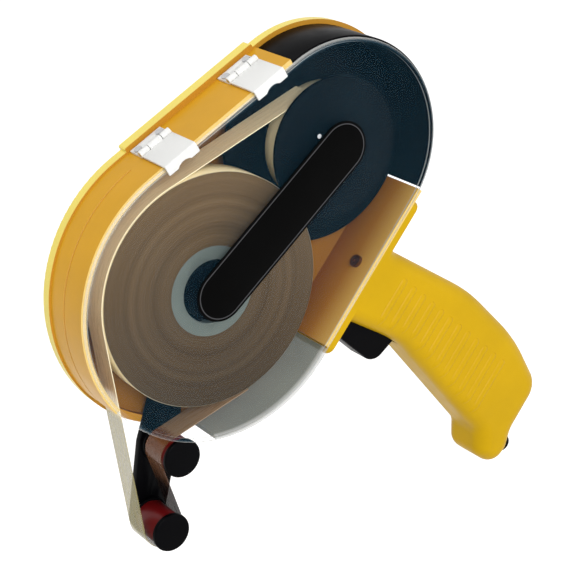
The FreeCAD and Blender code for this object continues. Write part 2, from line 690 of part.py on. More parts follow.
def post(centre, radius, foot_radius, far, bore_length):
    """A fixed post with a foot on the floor, a tail in the floor and a tapped front end."""
    tail = disc(centre, radius, FLOOR - POCKET_DEPTH + SEAT_FIT, far)
    foot = disc(centre, foot_radius, FLOOR, FLOOR + POST_FOOT)
    bore = disc(centre, SMALL_SHANK_RADIUS + SEAT_FIT, far - bore_length, far + OVERRUN)
    return tail.fuse(foot).removeSplitter().cut(bore)


def retainer(centre, radius, near):
    """A washer and screw that hold a reel on its post."""
    washer = disc(centre, radius, near, near + RETAINER_WASHER)
    head = disc(centre, RETAINER_HEAD_RADIUS, near, near + RETAINER_WASHER + RETAINER_HEAD)
    socket = disc(centre, RETAINER_HEAD_RADIUS * SOCKET_SHARE, near + RETAINER_WASHER,
                  near + RETAINER_WASHER + RETAINER_HEAD + OVERRUN)
    shank = disc(centre, SMALL_SHANK_RADIUS, near - RETAINER_SHANK_LENGTH, near)
    return fused([washer, head, shank]).cut(socket)


def hub_screw_places():
    return [polar(SUPPLY, HUB_SCREW_CIRCLE_RADIUS, LOBE_HEADING + index * 360 / HUB_SCREWS)
            for index in range(HUB_SCREWS)]


def supply_spindle():
    return post(SUPPLY, SUPPLY_POST_RADIUS, POST_FOOT_RADIUS, SUPPLY_POST_FAR,
                RETAINER_SHANK_LENGTH + OVERRUN)


def supply_gear():
    wheel = gear(SUPPLY, SUPPLY_TEETH, SUPPLY_BOSS_RADIUS + SEAT_FIT, LOBE_HEADING)
    for place in hub_screw_places():
        wheel = wheel.cut(disc(place, SMALL_SHANK_RADIUS + SEAT_FIT, GEAR_NEAR, GEAR_FAR + OVERRUN))
    return wheel


def supply_hub():
    boss = disc(SUPPLY, SUPPLY_BOSS_RADIUS, GEAR_NEAR, GEAR_FAR + PLATTER_SPACER)
    spacer = disc(SUPPLY, PLATTER_SPACER_RADIUS, GEAR_FAR, PLATTER_NEAR)
    platter = disc(SUPPLY, PLATTER_RADIUS, PLATTER_NEAR, PLATTER_FAR)
    drum = disc(SUPPLY, HUB_RADIUS, PLATTER_NEAR, HUB_FAR)
    solids = [boss, spacer, platter, drum]
    for index in range(HUB_RIBS):
        angle = index * 360 / HUB_RIBS
        root = polar(SUPPLY, HUB_RADIUS + HUB_RIB - HUB_RIB_WIDTH / 2, angle)
        solids.append(disc(root, HUB_RIB_WIDTH / 2, PLATTER_FAR - SEAT_FIT, HUB_FAR))
    hub = fused(solids)
    hub = hub.cut(disc(SUPPLY, SUPPLY_POST_RADIUS + RUNNING_FIT, 0, HUB_FAR + OVERRUN))
    for place in hub_screw_places():
        hub = hub.cut(disc(place, SMALL_SHANK_RADIUS + SEAT_FIT, GEAR_FAR - OVERRUN, TAPE_NEAR))
        hub = hub.cut(disc(place, SMALL_HEAD_RADIUS + SEAT_FIT, PLATTER_FAR - SMALL_HEAD - SEAT_FIT,
                           PLATTER_FAR + OVERRUN))
    return hub


def hub_screws():
    made = [screw(place, GEAR_FAR - GEAR_THICKNESS / 2, PLATTER_FAR - SMALL_HEAD - SEAT_FIT,
                  SMALL_HEAD_RADIUS, SMALL_HEAD, SMALL_SHANK_RADIUS)
            for place in hub_screw_places()]
    return Part.makeCompound(made)


def supply_retainer():
    return retainer(SUPPLY, RETAINER_RADIUS, SUPPLY_POST_FAR)


def tape_core():
    return ring(SUPPLY, CORE_OUTER_RADIUS, CORE_INNER_RADIUS, PLATTER_FAR + SEAT_FIT, HUB_FAR)


def tape_roll():
    return ring(SUPPLY, ROLL_RADIUS, CORE_OUTER_RADIUS + SEAT_FIT, TAPE_NEAR, TAPE_FAR)


def idler_spindle():
    stem = post(IDLER, IDLER_POST_RADIUS, IDLER_FOOT_RADIUS, IDLER_POST_FAR, IDLER_CLIP)
    groove = ring(IDLER, IDLER_POST_RADIUS + OVERRUN, IDLER_POST_RADIUS - SEAT_FIT,
                  GEAR_FAR + SIDE_GAP, GEAR_FAR + SIDE_GAP + IDLER_CLIP)
    return stem.cut(groove)


def idler_gear():
    tooth_angle = LOBE_HEADING + 180 + 180 / IDLER_TEETH
    return gear(IDLER, IDLER_TEETH, IDLER_POST_RADIUS + RUNNING_FIT, tooth_angle)


def idler_clip():
    near = GEAR_FAR + SIDE_GAP
    return ring(IDLER, IDLER_CLIP_RADIUS, IDLER_POST_RADIUS, near, near + IDLER_CLIP)


def takeup_spindle():
    return post(TAKEUP, TAKEUP_POST_RADIUS, TAKEUP_FOOT_RADIUS, TAKEUP_POST_FAR,
                RETAINER_SHANK_LENGTH + OVERRUN)


def takeup_gear():
    return gear(TAKEUP, TAKEUP_TEETH, TAKEUP_POST_RADIUS + RUNNING_FIT, LOBE_HEADING + 180)


def clutch_felt():
    return ring(TAKEUP, FELT_RADIUS, TAKEUP_POST_RADIUS + SIDE_GAP, GEAR_FAR, SPOOL_NEAR)


def takeup_spool():
    hub = disc(TAKEUP, SPOOL_HUB_RADIUS, SPOOL_NEAR, FRONT_FLANGE_NEAR)
    flange = disc(TAKEUP, REAR_FLANGE_RADIUS, TAPE_NEAR - SIDE_GAP - REAR_FLANGE,
                  TAPE_NEAR - SIDE_GAP)
    spool = hub.fuse(flange).removeSplitter()
    return spool.cut(disc(TAKEUP, TAKEUP_POST_RADIUS + RUNNING_FIT, 0, BODY_DEPTH))


def takeup_flange():
    return ring(TAKEUP, FRONT_FLANGE_RADIUS, TAKEUP_POST_RADIUS + RUNNING_FIT,
                FRONT_FLANGE_NEAR, FRONT_FLANGE_FAR)


def liner_winding():
    return ring(TAKEUP, WINDING_RADIUS, SPOOL_HUB_RADIUS + SEAT_FIT, TAPE_NEAR, TAPE_FAR)


def clutch_spring():
    return ring(TAKEUP, CLUTCH_SPRING_RADIUS, CLUTCH_SPRING_BORE, FRONT_FLANGE_FAR,
                FRONT_FLANGE_FAR + CLUTCH_SPRING)


def takeup_retainer():
    return retainer(TAKEUP, RETAINER_RADIUS, TAKEUP_POST_FAR)


# Nose arm and rollers

def nose_arm():
    lower = pill(GUIDE_CENTRE, ARM_GUIDE_RADIUS, APPLICATOR_CENTRE, ARM_APPLICATOR_RADIUS,
                 ARM_NEAR, ARM_FAR)
    upper = pill(GUIDE_CENTRE, ARM_GUIDE_RADIUS, ARM_FOOT_CENTRE, ARM_FOOT_RADIUS,
                 ARM_NEAR, ARM_FAR)
    foot = disc(ARM_FOOT_CENTRE, ARM_FOOT_RADIUS, FLOOR, ARM_FAR)
    arm = fused([lower, upper, foot])
    for centre in (GUIDE_CENTRE, APPLICATOR_CENTRE):
        arm = arm.cut(disc(centre, AXLE_RADIUS + SEAT_FIT, ARM_NEAR - OVERRUN, ARM_FAR + OVERRUN))
    for place in arm_screw_places():
        arm = arm.cut(disc(place, SMALL_SHANK_RADIUS + SEAT_FIT, 0, ARM_FAR + OVERRUN))
    return arm


def arm_screws():
    made = [screw(place, FLOOR - POCKET_DEPTH + SEAT_FIT, ARM_FAR, SMALL_HEAD_RADIUS,
                  SMALL_HEAD, SMALL_SHANK_RADIUS)
            for place in arm_screw_places()]
    return Part.makeCompound(made)


def roller_axle(centre):
    return disc(centre, AXLE_RADIUS, ARM_NEAR, ROLLER_FAR - AXLE_SHORT)


def roller_hub(centre):
    flange = disc(centre, ROLLER_FLANGE_RADIUS, ROLLER_NEAR, ROLLER_NEAR + ROLLER_FLANGE)
    tube = disc(centre, ROLLER_TUBE_RADIUS, ROLLER_NEAR, ROLLER_FAR - ROLLER_FLANGE)
    hub = flange.fuse(tube).removeSplitter()
    return hub.cut(disc(centre, AXLE_RADIUS + RUNNING_FIT, 0, ROLLER_FAR))


def roller_sleeve(centre):
    return ring(centre, SLEEVE_RADIUS, ROLLER_TUBE_RADIUS + SEAT_FIT,
                ROLLER_NEAR + ROLLER_FLANGE, ROLLER_FAR - ROLLER_FLANGE)


def roller_cap(centre):
    cap = disc(centre, ROLLER_FLANGE_RADIUS, ROLLER_FAR - ROLLER_FLANGE, ROLLER_FAR)
    cap = rounded_at_depth(cap, ROLLER_FAR, ROLLER_FLANGE * SOCKET_SHARE)
    return cap.cut(disc(centre, AXLE_RADIUS + SIDE_GAP, 0, ROLLER_FAR - ROLLER_FLANGE + SIDE_GAP))


# Webs

def tangent_heading(first, second, left_shift):
    """The travel direction from one wrapped circle to the next, in radians."""
    start, radius_a, turn_a = first
    end, radius_b, turn_b = second
    spacing = math.dist(start, end)
    heading = math.atan2(end[1] - start[1], end[0] - start[0])
    signed_a = turn_a * radius_a - left_shift
    signed_b = turn_b * radius_b - left_shift
    return heading + math.asin((signed_a - signed_b) / spacing)


def on_circle(stop, heading, left_shift):
    """The point where a strip touches a wrapped circle while it travels at a heading."""
    centre, radius, turn = stop
    signed = turn * radius - left_shift
    return (centre[0] + signed * math.sin(heading), centre[1] - signed * math.cos(heading))


def wrap(stop, heading_in, heading_out, left_shift):
    """The arc of a strip round one circle, from one travel direction to another."""
    turn = stop[2]
    sweep = (heading_out - heading_in) * turn % (2 * math.pi) * turn
    headings = (heading_in, heading_in + sweep / 2, heading_out)
    return tuple(on_circle(stop, heading, left_shift) for heading in headings)


def web_track(stops, left_shift, first_heading, last_heading):
    """One side of a strip over its stops: arcs of three points and runs of two."""
    runs = [tangent_heading(stops[i], stops[i + 1], left_shift) for i in range(len(stops) - 1)]
    track = []
    for index, stop in enumerate(stops):
        heading_in = runs[index - 1] if index > 0 else first_heading
        heading_out = runs[index] if index < len(runs) else last_heading
        if heading_in is not None and heading_out is not None:
            track.append(wrap(stop, heading_in, heading_out, left_shift))
        if index < len(runs):
            track.append((on_circle(stop, heading_out, left_shift),
                          on_circle(stops[index + 1], heading_out, left_shift)))
    return track


def track_edge(piece):
    if len(piece) == 2:
        return line(*piece, TAPE_NEAR)
    return arc(*piece, TAPE_NEAR)


def web_solid(stops, first_heading=None, last_heading=None):
    """A strip as wide as the tape over stops (centre, radius, turn), turn 1 to the left."""
    left = web_track(stops, WEB / 2, first_heading, last_heading)
    right = web_track(stops, -WEB / 2, first_heading, last_heading)
    edges = [track_edge(piece) for piece in left]
    edges.append(line(left[-1][-1], right[-1][-1], TAPE_NEAR))
    edges.extend(track_edge(piece[::-1]) for piece in reversed(right))
    edges.append(line(right[0][0], left[0][0], TAPE_NEAR))
    return push(Part.Wire(edges), TAPE_NEAR, TAPE_FAR)


ROLL_STOP = (SUPPLY, ROLL_RADIUS + WEB_GAP + WEB / 2, -1)
GUIDE_STOP = (GUIDE_CENTRE, SLEEVE_RADIUS + WEB_GAP + WEB / 2, 1)
APPLICATOR_STOP = (APPLICATOR_CENTRE, SLEEVE_RADIUS + WEB_GAP + WEB / 2, -1)
LOOP_LIFT = LINER_LOOP_RADIUS - APPLICATOR_STOP[1]
LOOP_STOP = ((APPLICATOR_CENTRE[0], APPLICATOR_CENTRE[1] + LOOP_LIFT), LINER_LOOP_RADIUS, -1)
WINDING_STOP = (TAKEUP, WINDING_RADIUS + WEB_GAP + WEB / 2, -1)
LEFTWARD = math.pi


def tape_web():
    """From the roll's lower side over the guide roller and under the applicator."""
    return web_solid([ROLL_STOP, GUIDE_STOP, APPLICATOR_STOP], last_heading=LEFTWARD)


def liner_web():
    """A slack loop from under the applicator, then over the roll to the take-up winding."""
    return web_solid([LOOP_STOP, ROLL_STOP, WINDING_STOP], first_heading=LEFTWARD)


# Handle

# The outline runs on behind the flange, where it is cut away again, so that the top edge
# meets the flange in a fillet and the sides meet it square.
HANDLE_CORNER_SHARES = (
    (-0.150, 1.150, 0.0),
    (-0.150, 0.269, 0.0),
    (0.286, 0.399, HANDLE_ARCH),
    (0.829, 0.154, HEEL_ROUND),
    (0.888, 0.002, HEEL_ROUND),
    (0.984, 0.000, HEEL_ROUND),
    (1.000, 0.168, HEEL_ROUND),
    (0.972, 0.321, HEEL_BLEND),
    (0.970, 0.724, HEEL_BLEND),
    (0.755, 0.917, HANDLE_BEND),
    (0.457, 1.000, HANDLE_BEND),
    (FLANGE / HANDLE_LENGTH, 0.902, HANDLE_FILLET),
    (FLANGE / HANDLE_LENGTH, 1.150, 0.0))
RIB_FIRST_SHARE = 0.145
RIB_HIGH_SHARES = (0.769, 0.691)


def handle_place(out_share, up_share):
    """Out and along, on the bracket side, of a share of the handle's length and height."""
    return (SUPPLY_LOBE_RADIUS + out_share * HANDLE_LENGTH, up_share * HANDLE_HEIGHT)


def underside_share(out_share):
    """The height share of the handle's underside at a share of its length."""
    for start, end in zip(HANDLE_CORNER_SHARES[1:], HANDLE_CORNER_SHARES[2:]):
        if start[0] <= out_share <= end[0]:
            step = (out_share - start[0]) / (end[0] - start[0])
            return start[1] + step * (end[1] - start[1])


def handle_wire(depth):
    corners = []
    for out_share, up_share, radius in HANDLE_CORNER_SHARES:
        corners.append((*bracket_side(*handle_place(out_share, up_share)), radius))
    return rounded_wire(corners, depth)


def handle_flange():
    strip = block(bracket_side, (SUPPLY_LOBE_RADIUS, FLANGE_START), (FLANGE_FACE, FLANGE_END),
                  0, BODY_DEPTH)
    outward = at(bracket_side(1, 0), 0)
    side_edges = [edge for edge in strip.Edges
                  if abs(abs(edge.tangentAt(edge.FirstParameter).dot(outward)) - 1) < 0.001]
    return strip.makeFillet(FLANGE_CORNER, side_edges)


def rib_bar(index, face_depth, inward):
    """One raised rib: a sunk round bar down a side of the grip that bends into its lower edge."""
    out_share = RIB_FIRST_SHARE + index * RIB_PITCH / HANDLE_LENGTH
    step = index / (RIB_COUNT - 1)
    high_share = RIB_HIGH_SHARES[0] + step * (RIB_HIGH_SHARES[1] - RIB_HIGH_SHARES[0])
    low_share = underside_share(out_share) + (HANDLE_ROUND + RIB_SINK) / HANDLE_HEIGHT
    depth = face_depth + inward * (RIB_BAR_RADIUS - RIB_PROUD)
    low = at(bracket_side(*handle_place(out_share, low_share)), depth)
    high = at(bracket_side(*handle_place(out_share, high_share)), depth)
    bar = Part.makeCylinder(RIB_BAR_RADIUS, (high - low).Length, low, high - low)
    bend_centre = at(bracket_side(*handle_place(out_share, low_share)), face_depth + inward * HANDLE_ROUND)
    across = at(bracket_side(1, 0), 0)
    round_end = Part.Face(Part.Wire(Part.makeCircle(RIB_BAR_RADIUS, low, (high - low) * inward)))
    bend = round_end.revolve(bend_centre, across * -inward, 90)
    end = bend_centre + (low - high).normalize() * (bend_centre - low).Length
    return fused([bar, bend, Part.makeSphere(RIB_BAR_RADIUS, end), Part.makeSphere(RIB_BAR_RADIUS, high)])


def handle_screw_places():
    return [bracket_side(*handle_place(*shares)) for shares in HANDLE_SCREW_SHARES]


def pivot():
    return bracket_side(PIVOT_OUT, PIVOT_ALONG)


def trigger_window():
    """The opening in the handle's underside that the trigger moves in."""
    low = (FLANGE_FACE, TRIGGER_BOTTOM)
    high = (FLANGE_FACE + TRIGGER_FLANGE_GAP + TRIGGER_LENGTH + TRIGGER_TOE_GAP, PIVOT_ALONG + WALL)
    return block(bracket_side, low, high, TRIGGER_NEAR - TRIGGER_SLOT_GAP,
                 TRIGGER_FAR + TRIGGER_SLOT_GAP)


def heel_cylinder(radius, start, end):
    """A cylinder on the heel plug's axis between two distances out from the body."""
    base = at(bracket_side(start, HEEL_PLUG_ALONG), SPLIT_DEPTH)
    direction = at(bracket_side(end, HEEL_PLUG_ALONG), SPLIT_DEPTH) - base
    return Part.makeCylinder(radius, direction.Length, base, direction)


def handle_shell():
    """The whole handle with its flange and ribs, hollow, before it is split."""
    outside = push(handle_wire(HANDLE_REAR_DEPTH), HANDLE_REAR_DEPTH, HANDLE_FRONT_DEPTH)
    outside = rounded_at_depth(outside, HANDLE_REAR_DEPTH, HANDLE_ROUND)
    outside = rounded_at_depth(outside, HANDLE_FRONT_DEPTH, HANDLE_ROUND)
    bars = []
    for index in range(RIB_COUNT):
        bars.append(rib_bar(index, HANDLE_REAR_DEPTH, 1))
        bars.append(rib_bar(index, HANDLE_FRONT_DEPTH, -1))
    near = HANDLE_REAR_DEPTH + HANDLE_WALL
    far = HANDLE_FRONT_DEPTH - HANDLE_WALL
    cavity = push(handle_wire(near).makeOffset2D(-HANDLE_WALL), near, far)
    cavity = rounded_at_depth(cavity, near, HANDLE_ROUND - HANDLE_WALL)
    cavity = rounded_at_depth(cavity, far, HANDLE_ROUND - HANDLE_WALL)
    body_side = block(bracket_side, (0, -HANDLE_HEIGHT), (FLANGE_FACE, HANDLE_HEIGHT * 2), near, far)
    cavity = cavity.cut(body_side)
    beyond = block(bracket_side, (0, -HANDLE_HEIGHT), (SUPPLY_LOBE_RADIUS, HANDLE_HEIGHT * 2),
                   -OVERRUN, BODY_DEPTH + OVERRUN)
    return fused([outside, handle_flange()] + bars).cut(cavity).cut(beyond)


def pivot_boss(near, far):
    return disc(pivot(), PIVOT_RADIUS + PIVOT_BOSS, near, far)


def pivot_bore():
    return disc(pivot(), PIVOT_RADIUS + SEAT_FIT, HANDLE_REAR_DEPTH + HANDLE_WALL / 2,
                HANDLE_FRONT_DEPTH - HANDLE_WALL / 2)


def handle_rear(shell):
    half_space = block(bracket_side, (0, -HANDLE_HEIGHT),
                       (SUPPLY_LOBE_RADIUS + HANDLE_LENGTH * 2, HANDLE_HEIGHT * 2), 0, SPLIT_DEPTH)
    inner = HANDLE_REAR_DEPTH + HANDLE_WALL / 2
    posts = [disc(place, HANDLE_BOSS_RADIUS, inner, SPLIT_DEPTH) for place in handle_screw_places()]
    bearing = pivot_boss(inner, TRIGGER_NEAR - TRIGGER_SLOT_GAP)
    half = fused([shell.common(half_space), bearing] + posts)
    for place in handle_screw_places():
        half = half.cut(disc(place, SCREW_HEAD_RADIUS + SIDE_GAP, 0,
                             HANDLE_REAR_DEPTH + HANDLE_WALL + SCREW_HEAD))
        half = half.cut(disc(place, SCREW_SHANK_RADIUS + SEAT_FIT, 0, SPLIT_DEPTH + OVERRUN))
    for cutter in (pivot_bore(), trigger_window(), rod_slot(0, FLANGE_FACE + OVERRUN), heel_bore()):
        half = half.cut(cutter)
    return half


def handle_front(shell):
    half_space = block(bracket_side, (0, -HANDLE_HEIGHT),
                       (SUPPLY_LOBE_RADIUS + HANDLE_LENGTH * 2, HANDLE_HEIGHT * 2),
                       SPLIT_DEPTH, BODY_DEPTH + OVERRUN)
    boss = mount_cylinder(MOUNT_BOSS_RADIUS, FLANGE_FACE, FLANGE_FACE + MOUNT_BOSS_LENGTH)
    bore = mount_cylinder(SCREW_SHANK_RADIUS + SEAT_FIT, SUPPLY_LOBE_RADIUS - OVERRUN,
                          FLANGE_FACE + MOUNT_BOSS_LENGTH + OVERRUN)
    inner = HANDLE_FRONT_DEPTH - HANDLE_WALL / 2
    posts = [disc(place, HANDLE_BOSS_RADIUS, SPLIT_DEPTH, inner) for place in handle_screw_places()]
    bearing = pivot_boss(TRIGGER_FAR + TRIGGER_SLOT_GAP, inner)
    half = fused([shell.common(half_space), boss, bearing] + posts)
    for place in handle_screw_places():
        half = half.cut(disc(place, SCREW_SHANK_RADIUS + SEAT_FIT, 0,
                             HANDLE_FRONT_DEPTH - HANDLE_WALL))
    for cutter in (bore, pivot_bore(), trigger_window(), heel_bore()):
        half = half.cut(cutter)
    return half


def handle_screws():
    head_far = HANDLE_REAR_DEPTH + HANDLE_WALL + SCREW_HEAD
    tip = HANDLE_FRONT_DEPTH - HANDLE_WALL - OVERRUN
    made = []
    for place in handle_screw_places():
        head = disc(place, SCREW_HEAD_RADIUS, head_far - SCREW_HEAD, head_far)
        socket = disc(place, SCREW_SHANK_RADIUS, 0, head_far - SCREW_HEAD * (1 - SOCKET_SHARE))
        shank = disc(place, SCREW_SHANK_RADIUS, head_far - OVERRUN / 2, tip)
        made.append(head.cut(socket).fuse(shank).removeSplitter())
    return Part.makeCompound(made)


def mount_screw():
    """The screw from inside the tray into the boss of the handle's front half."""
    wall = SUPPLY_LOBE_RADIUS - WALL
    head = mount_cylinder(SCREW_HEAD_RADIUS, wall - SCREW_HEAD, wall)
    socket = mount_cylinder(SCREW_SHANK_RADIUS, wall - SCREW_HEAD - OVERRUN,
                            wall - SCREW_HEAD * SOCKET_SHARE)
    shank = mount_cylinder(SCREW_SHANK_RADIUS, wall - SCREW_HEAD * SOCKET_SHARE,
                           FLANGE_FACE + MOUNT_BOSS_LENGTH)
    return head.cut(socket).fuse(shank).removeSplitter()


def heel_bore():
    return heel_cylinder(HEEL_PLUG_RADIUS + SEAT_FIT, HEEL_END - HANDLE_WALL * 2,
                         HEEL_END + HANDLE_LENGTH)


def heel_plug():
    tip_out = HEEL_END + HEEL_PLUG_PROUD
    stem = heel_cylinder(HEEL_PLUG_RADIUS, HEEL_END - HANDLE_WALL * 2, tip_out)
    tip_centre = at(bracket_side(tip_out, HEEL_PLUG_ALONG), SPLIT_DEPTH)
    tip = [edge for edge in stem.Edges if (edge.CenterOfMass - tip_centre).Length < SEAT_FIT]
    return stem.makeFillet(HEEL_PLUG_ROUND, tip)


# Trigger and brake

def trigger():
    left = FLANGE_FACE + TRIGGER_FLANGE_GAP
    right = left + TRIGGER_LENGTH
    top = TRIGGER_BOTTOM + TRIGGER_HEIGHT
    outline = ((left, TRIGGER_BOTTOM + TRIGGER_HEEL_RISE, TRIGGER_EDGE_ROUND),
               (PIVOT_OUT + PEG_RADIUS, TRIGGER_BOTTOM + TRIGGER_EDGE_ROUND, TRIGGER_TOE_ROUND),
               (right - TRIGGER_HEEL_RISE, TRIGGER_BOTTOM, TRIGGER_TOE_ROUND),
               (right, top - TRIGGER_TOE_ROUND, TRIGGER_HEEL_RISE),
               (right - TRIGGER_EDGE_ROUND, top, TRIGGER_EDGE_ROUND),
               (left, top, TRIGGER_EDGE_ROUND))
    corners = [(*bracket_side(out, along), radius) for out, along, radius in outline]
    body = push(rounded_wire(corners, TRIGGER_NEAR), TRIGGER_NEAR, TRIGGER_FAR)
    body = rounded_at_depth(body, TRIGGER_FAR, TRIGGER_FACE_ROUND)
    body = rounded_at_depth(body, TRIGGER_NEAR, TRIGGER_FACE_ROUND)
    body = body.cut(disc(pivot(), PIVOT_RADIUS + RUNNING_FIT, 0, BODY_DEPTH))
    fork_gap = PEG_RADIUS + SIDE_GAP
    fork_top = ROD_ALONG + fork_gap + SIDE_GAP
    fork = block(bracket_side, (PEG_OUT - fork_gap, 0), (PEG_OUT + fork_gap, fork_top),
                 TRIGGER_NEAR - OVERRUN, TRIGGER_NEAR + PEG_OVERLAP + SIDE_GAP)
    return body.cut(fork)


def trigger_pin():
    return disc(pivot(), PIVOT_RADIUS, HANDLE_REAR_DEPTH + HANDLE_WALL / 2,
                HANDLE_FRONT_DEPTH - HANDLE_WALL / 2)


def trigger_spring():
    """A bowed leaf between the handle's flange and the trigger's upper heel."""
    middle = TRIGGER_BOTTOM + TRIGGER_HEIGHT
    near = SPLIT_DEPTH - LEAF_WIDTH / 2
    low = middle - LEAF_LENGTH / 2
    high = middle + LEAF_LENGTH / 2
    edges = [arc(bracket_side(FLANGE_FACE, low), bracket_side(FLANGE_FACE + LEAF_BOW, middle),
                 bracket_side(FLANGE_FACE, high), near)]
    inner = LEAF_BOW - LEAF
    edges.append(line(bracket_side(FLANGE_FACE, high), bracket_side(FLANGE_FACE, high - LEAF * 2), near))
    edges.append(arc(bracket_side(FLANGE_FACE, high - LEAF * 2),
                     bracket_side(FLANGE_FACE + inner, middle),
                     bracket_side(FLANGE_FACE, low + LEAF * 2), near))
    edges.append(line(bracket_side(FLANGE_FACE, low + LEAF * 2), bracket_side(FLANGE_FACE, low), near))
    return push(Part.Wire(edges), near, near + LEAF_WIDTH)


def brake_slide():
    """A flat rod that runs from the brake pad to the trigger, with an upright peg."""
    rod = block(bracket_side, (PAD_BACK_OUT, ROD_ALONG - ROD_WIDTH / 2),
                (PEG_OUT + ROD_WIDTH / 2, ROD_ALONG + ROD_WIDTH / 2), ROD_NEAR, ROD_FAR)
    head = block(bracket_side, (PAD_BACK_OUT, ROD_ALONG - PAD_WIDTH / 2),
                 (PAD_BACK_OUT + ROD_WIDTH / 2, ROD_ALONG + PAD_WIDTH / 2), ROD_NEAR, GEAR_FAR)
    peg = disc(bracket_side(PEG_OUT, ROD_ALONG), PEG_RADIUS, ROD_NEAR, TRIGGER_NEAR + PEG_OVERLAP)
    return fused([rod, head, peg])


def brake_pad():
    block_of_pad = block(bracket_side, (PAD_BACK_OUT - PAD_LENGTH * 2, ROD_ALONG - PAD_WIDTH / 2),
                         (PAD_BACK_OUT, ROD_ALONG + PAD_WIDTH / 2), GEAR_NEAR, GEAR_FAR)
    return block_of_pad.cut(disc(SUPPLY, PAD_FACE_RADIUS, 0, BODY_DEPTH))


def brake_keeper():
    half_width = ROD_WIDTH / 2 + ROD_GAP + KEEPER_POST_WIDTH
    near = ROD_FAR + ROD_GAP
    plate = block(bracket_side, (KEEPER_OUT - KEEPER_LENGTH / 2, ROD_ALONG - half_width),
                  (KEEPER_OUT + KEEPER_LENGTH / 2, ROD_ALONG + half_width),
                  near, near + KEEPER_THICKNESS)
    for place in keeper_screw_places():
        plate = plate.cut(disc(place, SMALL_SHANK_RADIUS + SEAT_FIT, 0, BODY_DEPTH))
    return plate


def keeper_screws():
    near = ROD_FAR + ROD_GAP + KEEPER_THICKNESS
    made = [screw(place, FLOOR + SEAT_FIT, near, SMALL_HEAD_RADIUS, SMALL_HEAD, SMALL_SHANK_RADIUS)
            for place in keeper_screw_places()]
    return Part.makeCompound(made)


# Files

def all_pieces():
    """Every piece by its name."""
    shell = handle_shell()
    pieces = {
        "housing_shell": housing_shell(),
        "reel_guard": reel_guard(),
        "guard_screws": guard_screws(),
        "clear_cover": clear_cover(),
        "label_plate": label_plate(),
        "hinge_rivets": hinge_rivets(),
        "handle_rear": handle_rear(shell),
        "handle_front": handle_front(shell),
        "handle_screws": handle_screws(),
        "mount_screw": mount_screw(),
        "heel_plug": heel_plug(),
        "trigger": trigger(),
        "trigger_pin": trigger_pin(),
        "trigger_spring": trigger_spring(),
        "brake_slide": brake_slide(),
        "brake_pad": brake_pad(),
        "brake_keeper": brake_keeper(),
        "keeper_screws": keeper_screws(),
        "supply_spindle": supply_spindle(),
        "supply_gear": supply_gear(),
        "supply_hub": supply_hub(),
        "hub_screws": hub_screws(),
        "supply_retainer": supply_retainer(),
        "tape_core": tape_core(),
        "tape_roll": tape_roll(),
        "idler_spindle": idler_spindle(),
        "idler_gear": idler_gear(),
        "idler_clip": idler_clip(),
        "takeup_spindle": takeup_spindle(),
        "takeup_gear": takeup_gear(),
        "clutch_felt": clutch_felt(),
        "takeup_spool": takeup_spool(),
        "takeup_flange": takeup_flange(),
        "liner_winding": liner_winding(),
        "clutch_spring": clutch_spring(),
        "takeup_retainer": takeup_retainer(),
        "nose_arm": nose_arm(),
        "arm_screws": arm_screws(),
        "tape_web": tape_web(),
        "liner_web": liner_web(),
    }
    for place, centre in zip(("lower", "upper"), HINGE_CENTRES):
        pieces["hinge_base_" + place] = hinge_base(centre)
        pieces["hinge_strap_" + place] = hinge_strap(centre)
        pieces["hinge_pin_" + place] = hinge_pin(centre)
    for place, centre in (("guide", GUIDE_CENTRE), ("applicator", APPLICATOR_CENTRE)):
        pieces[place + "_axle"] = roller_axle(centre)
        pieces[place + "_hub"] = roller_hub(centre)
        pieces[place + "_sleeve"] = roller_sleeve(centre)
        pieces[place + "_cap"] = roller_cap(centre)
    return pieces


os.makedirs("parts", exist_ok=True)
for name, piece in all_pieces().items():
    piece.exportStep("parts/" + name + ".step")
    print(name, len(piece.Solids), piece.isValid())
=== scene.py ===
import json
import math
import random

import bmesh
import bpy
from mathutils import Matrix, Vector


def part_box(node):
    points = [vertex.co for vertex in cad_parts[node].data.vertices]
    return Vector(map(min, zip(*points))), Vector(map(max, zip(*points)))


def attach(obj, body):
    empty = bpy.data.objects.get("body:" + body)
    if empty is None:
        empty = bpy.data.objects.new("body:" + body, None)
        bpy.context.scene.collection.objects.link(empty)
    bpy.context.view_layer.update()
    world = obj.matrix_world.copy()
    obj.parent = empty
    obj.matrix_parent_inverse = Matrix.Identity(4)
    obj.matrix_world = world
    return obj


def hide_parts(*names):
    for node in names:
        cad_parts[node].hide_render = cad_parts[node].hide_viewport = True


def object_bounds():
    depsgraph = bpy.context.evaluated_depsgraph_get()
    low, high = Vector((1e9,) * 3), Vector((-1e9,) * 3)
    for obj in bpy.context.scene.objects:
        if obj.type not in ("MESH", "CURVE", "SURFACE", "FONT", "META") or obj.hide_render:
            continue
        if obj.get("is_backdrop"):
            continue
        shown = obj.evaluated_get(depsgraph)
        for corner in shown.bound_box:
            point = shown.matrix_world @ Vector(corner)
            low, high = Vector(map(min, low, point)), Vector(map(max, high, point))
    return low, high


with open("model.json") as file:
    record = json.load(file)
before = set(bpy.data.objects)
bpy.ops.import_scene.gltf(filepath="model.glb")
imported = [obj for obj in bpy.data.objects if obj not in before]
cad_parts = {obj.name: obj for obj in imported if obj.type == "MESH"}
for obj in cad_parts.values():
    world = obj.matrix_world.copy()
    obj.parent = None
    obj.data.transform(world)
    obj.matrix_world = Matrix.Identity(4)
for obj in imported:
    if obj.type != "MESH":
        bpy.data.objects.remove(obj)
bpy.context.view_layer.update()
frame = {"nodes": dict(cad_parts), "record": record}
nodes = frame["nodes"]
scene = bpy.context.scene
scene.view_settings.view_transform = "Standard"
MM = 0.001
SLOT_OF = {row["node"]: row["material_slot"] for row in frame["record"]["subparts"]}
BODY_OF = {name: body for body, names in frame["record"]["behaviour"]["bodies"].items() for name in names}


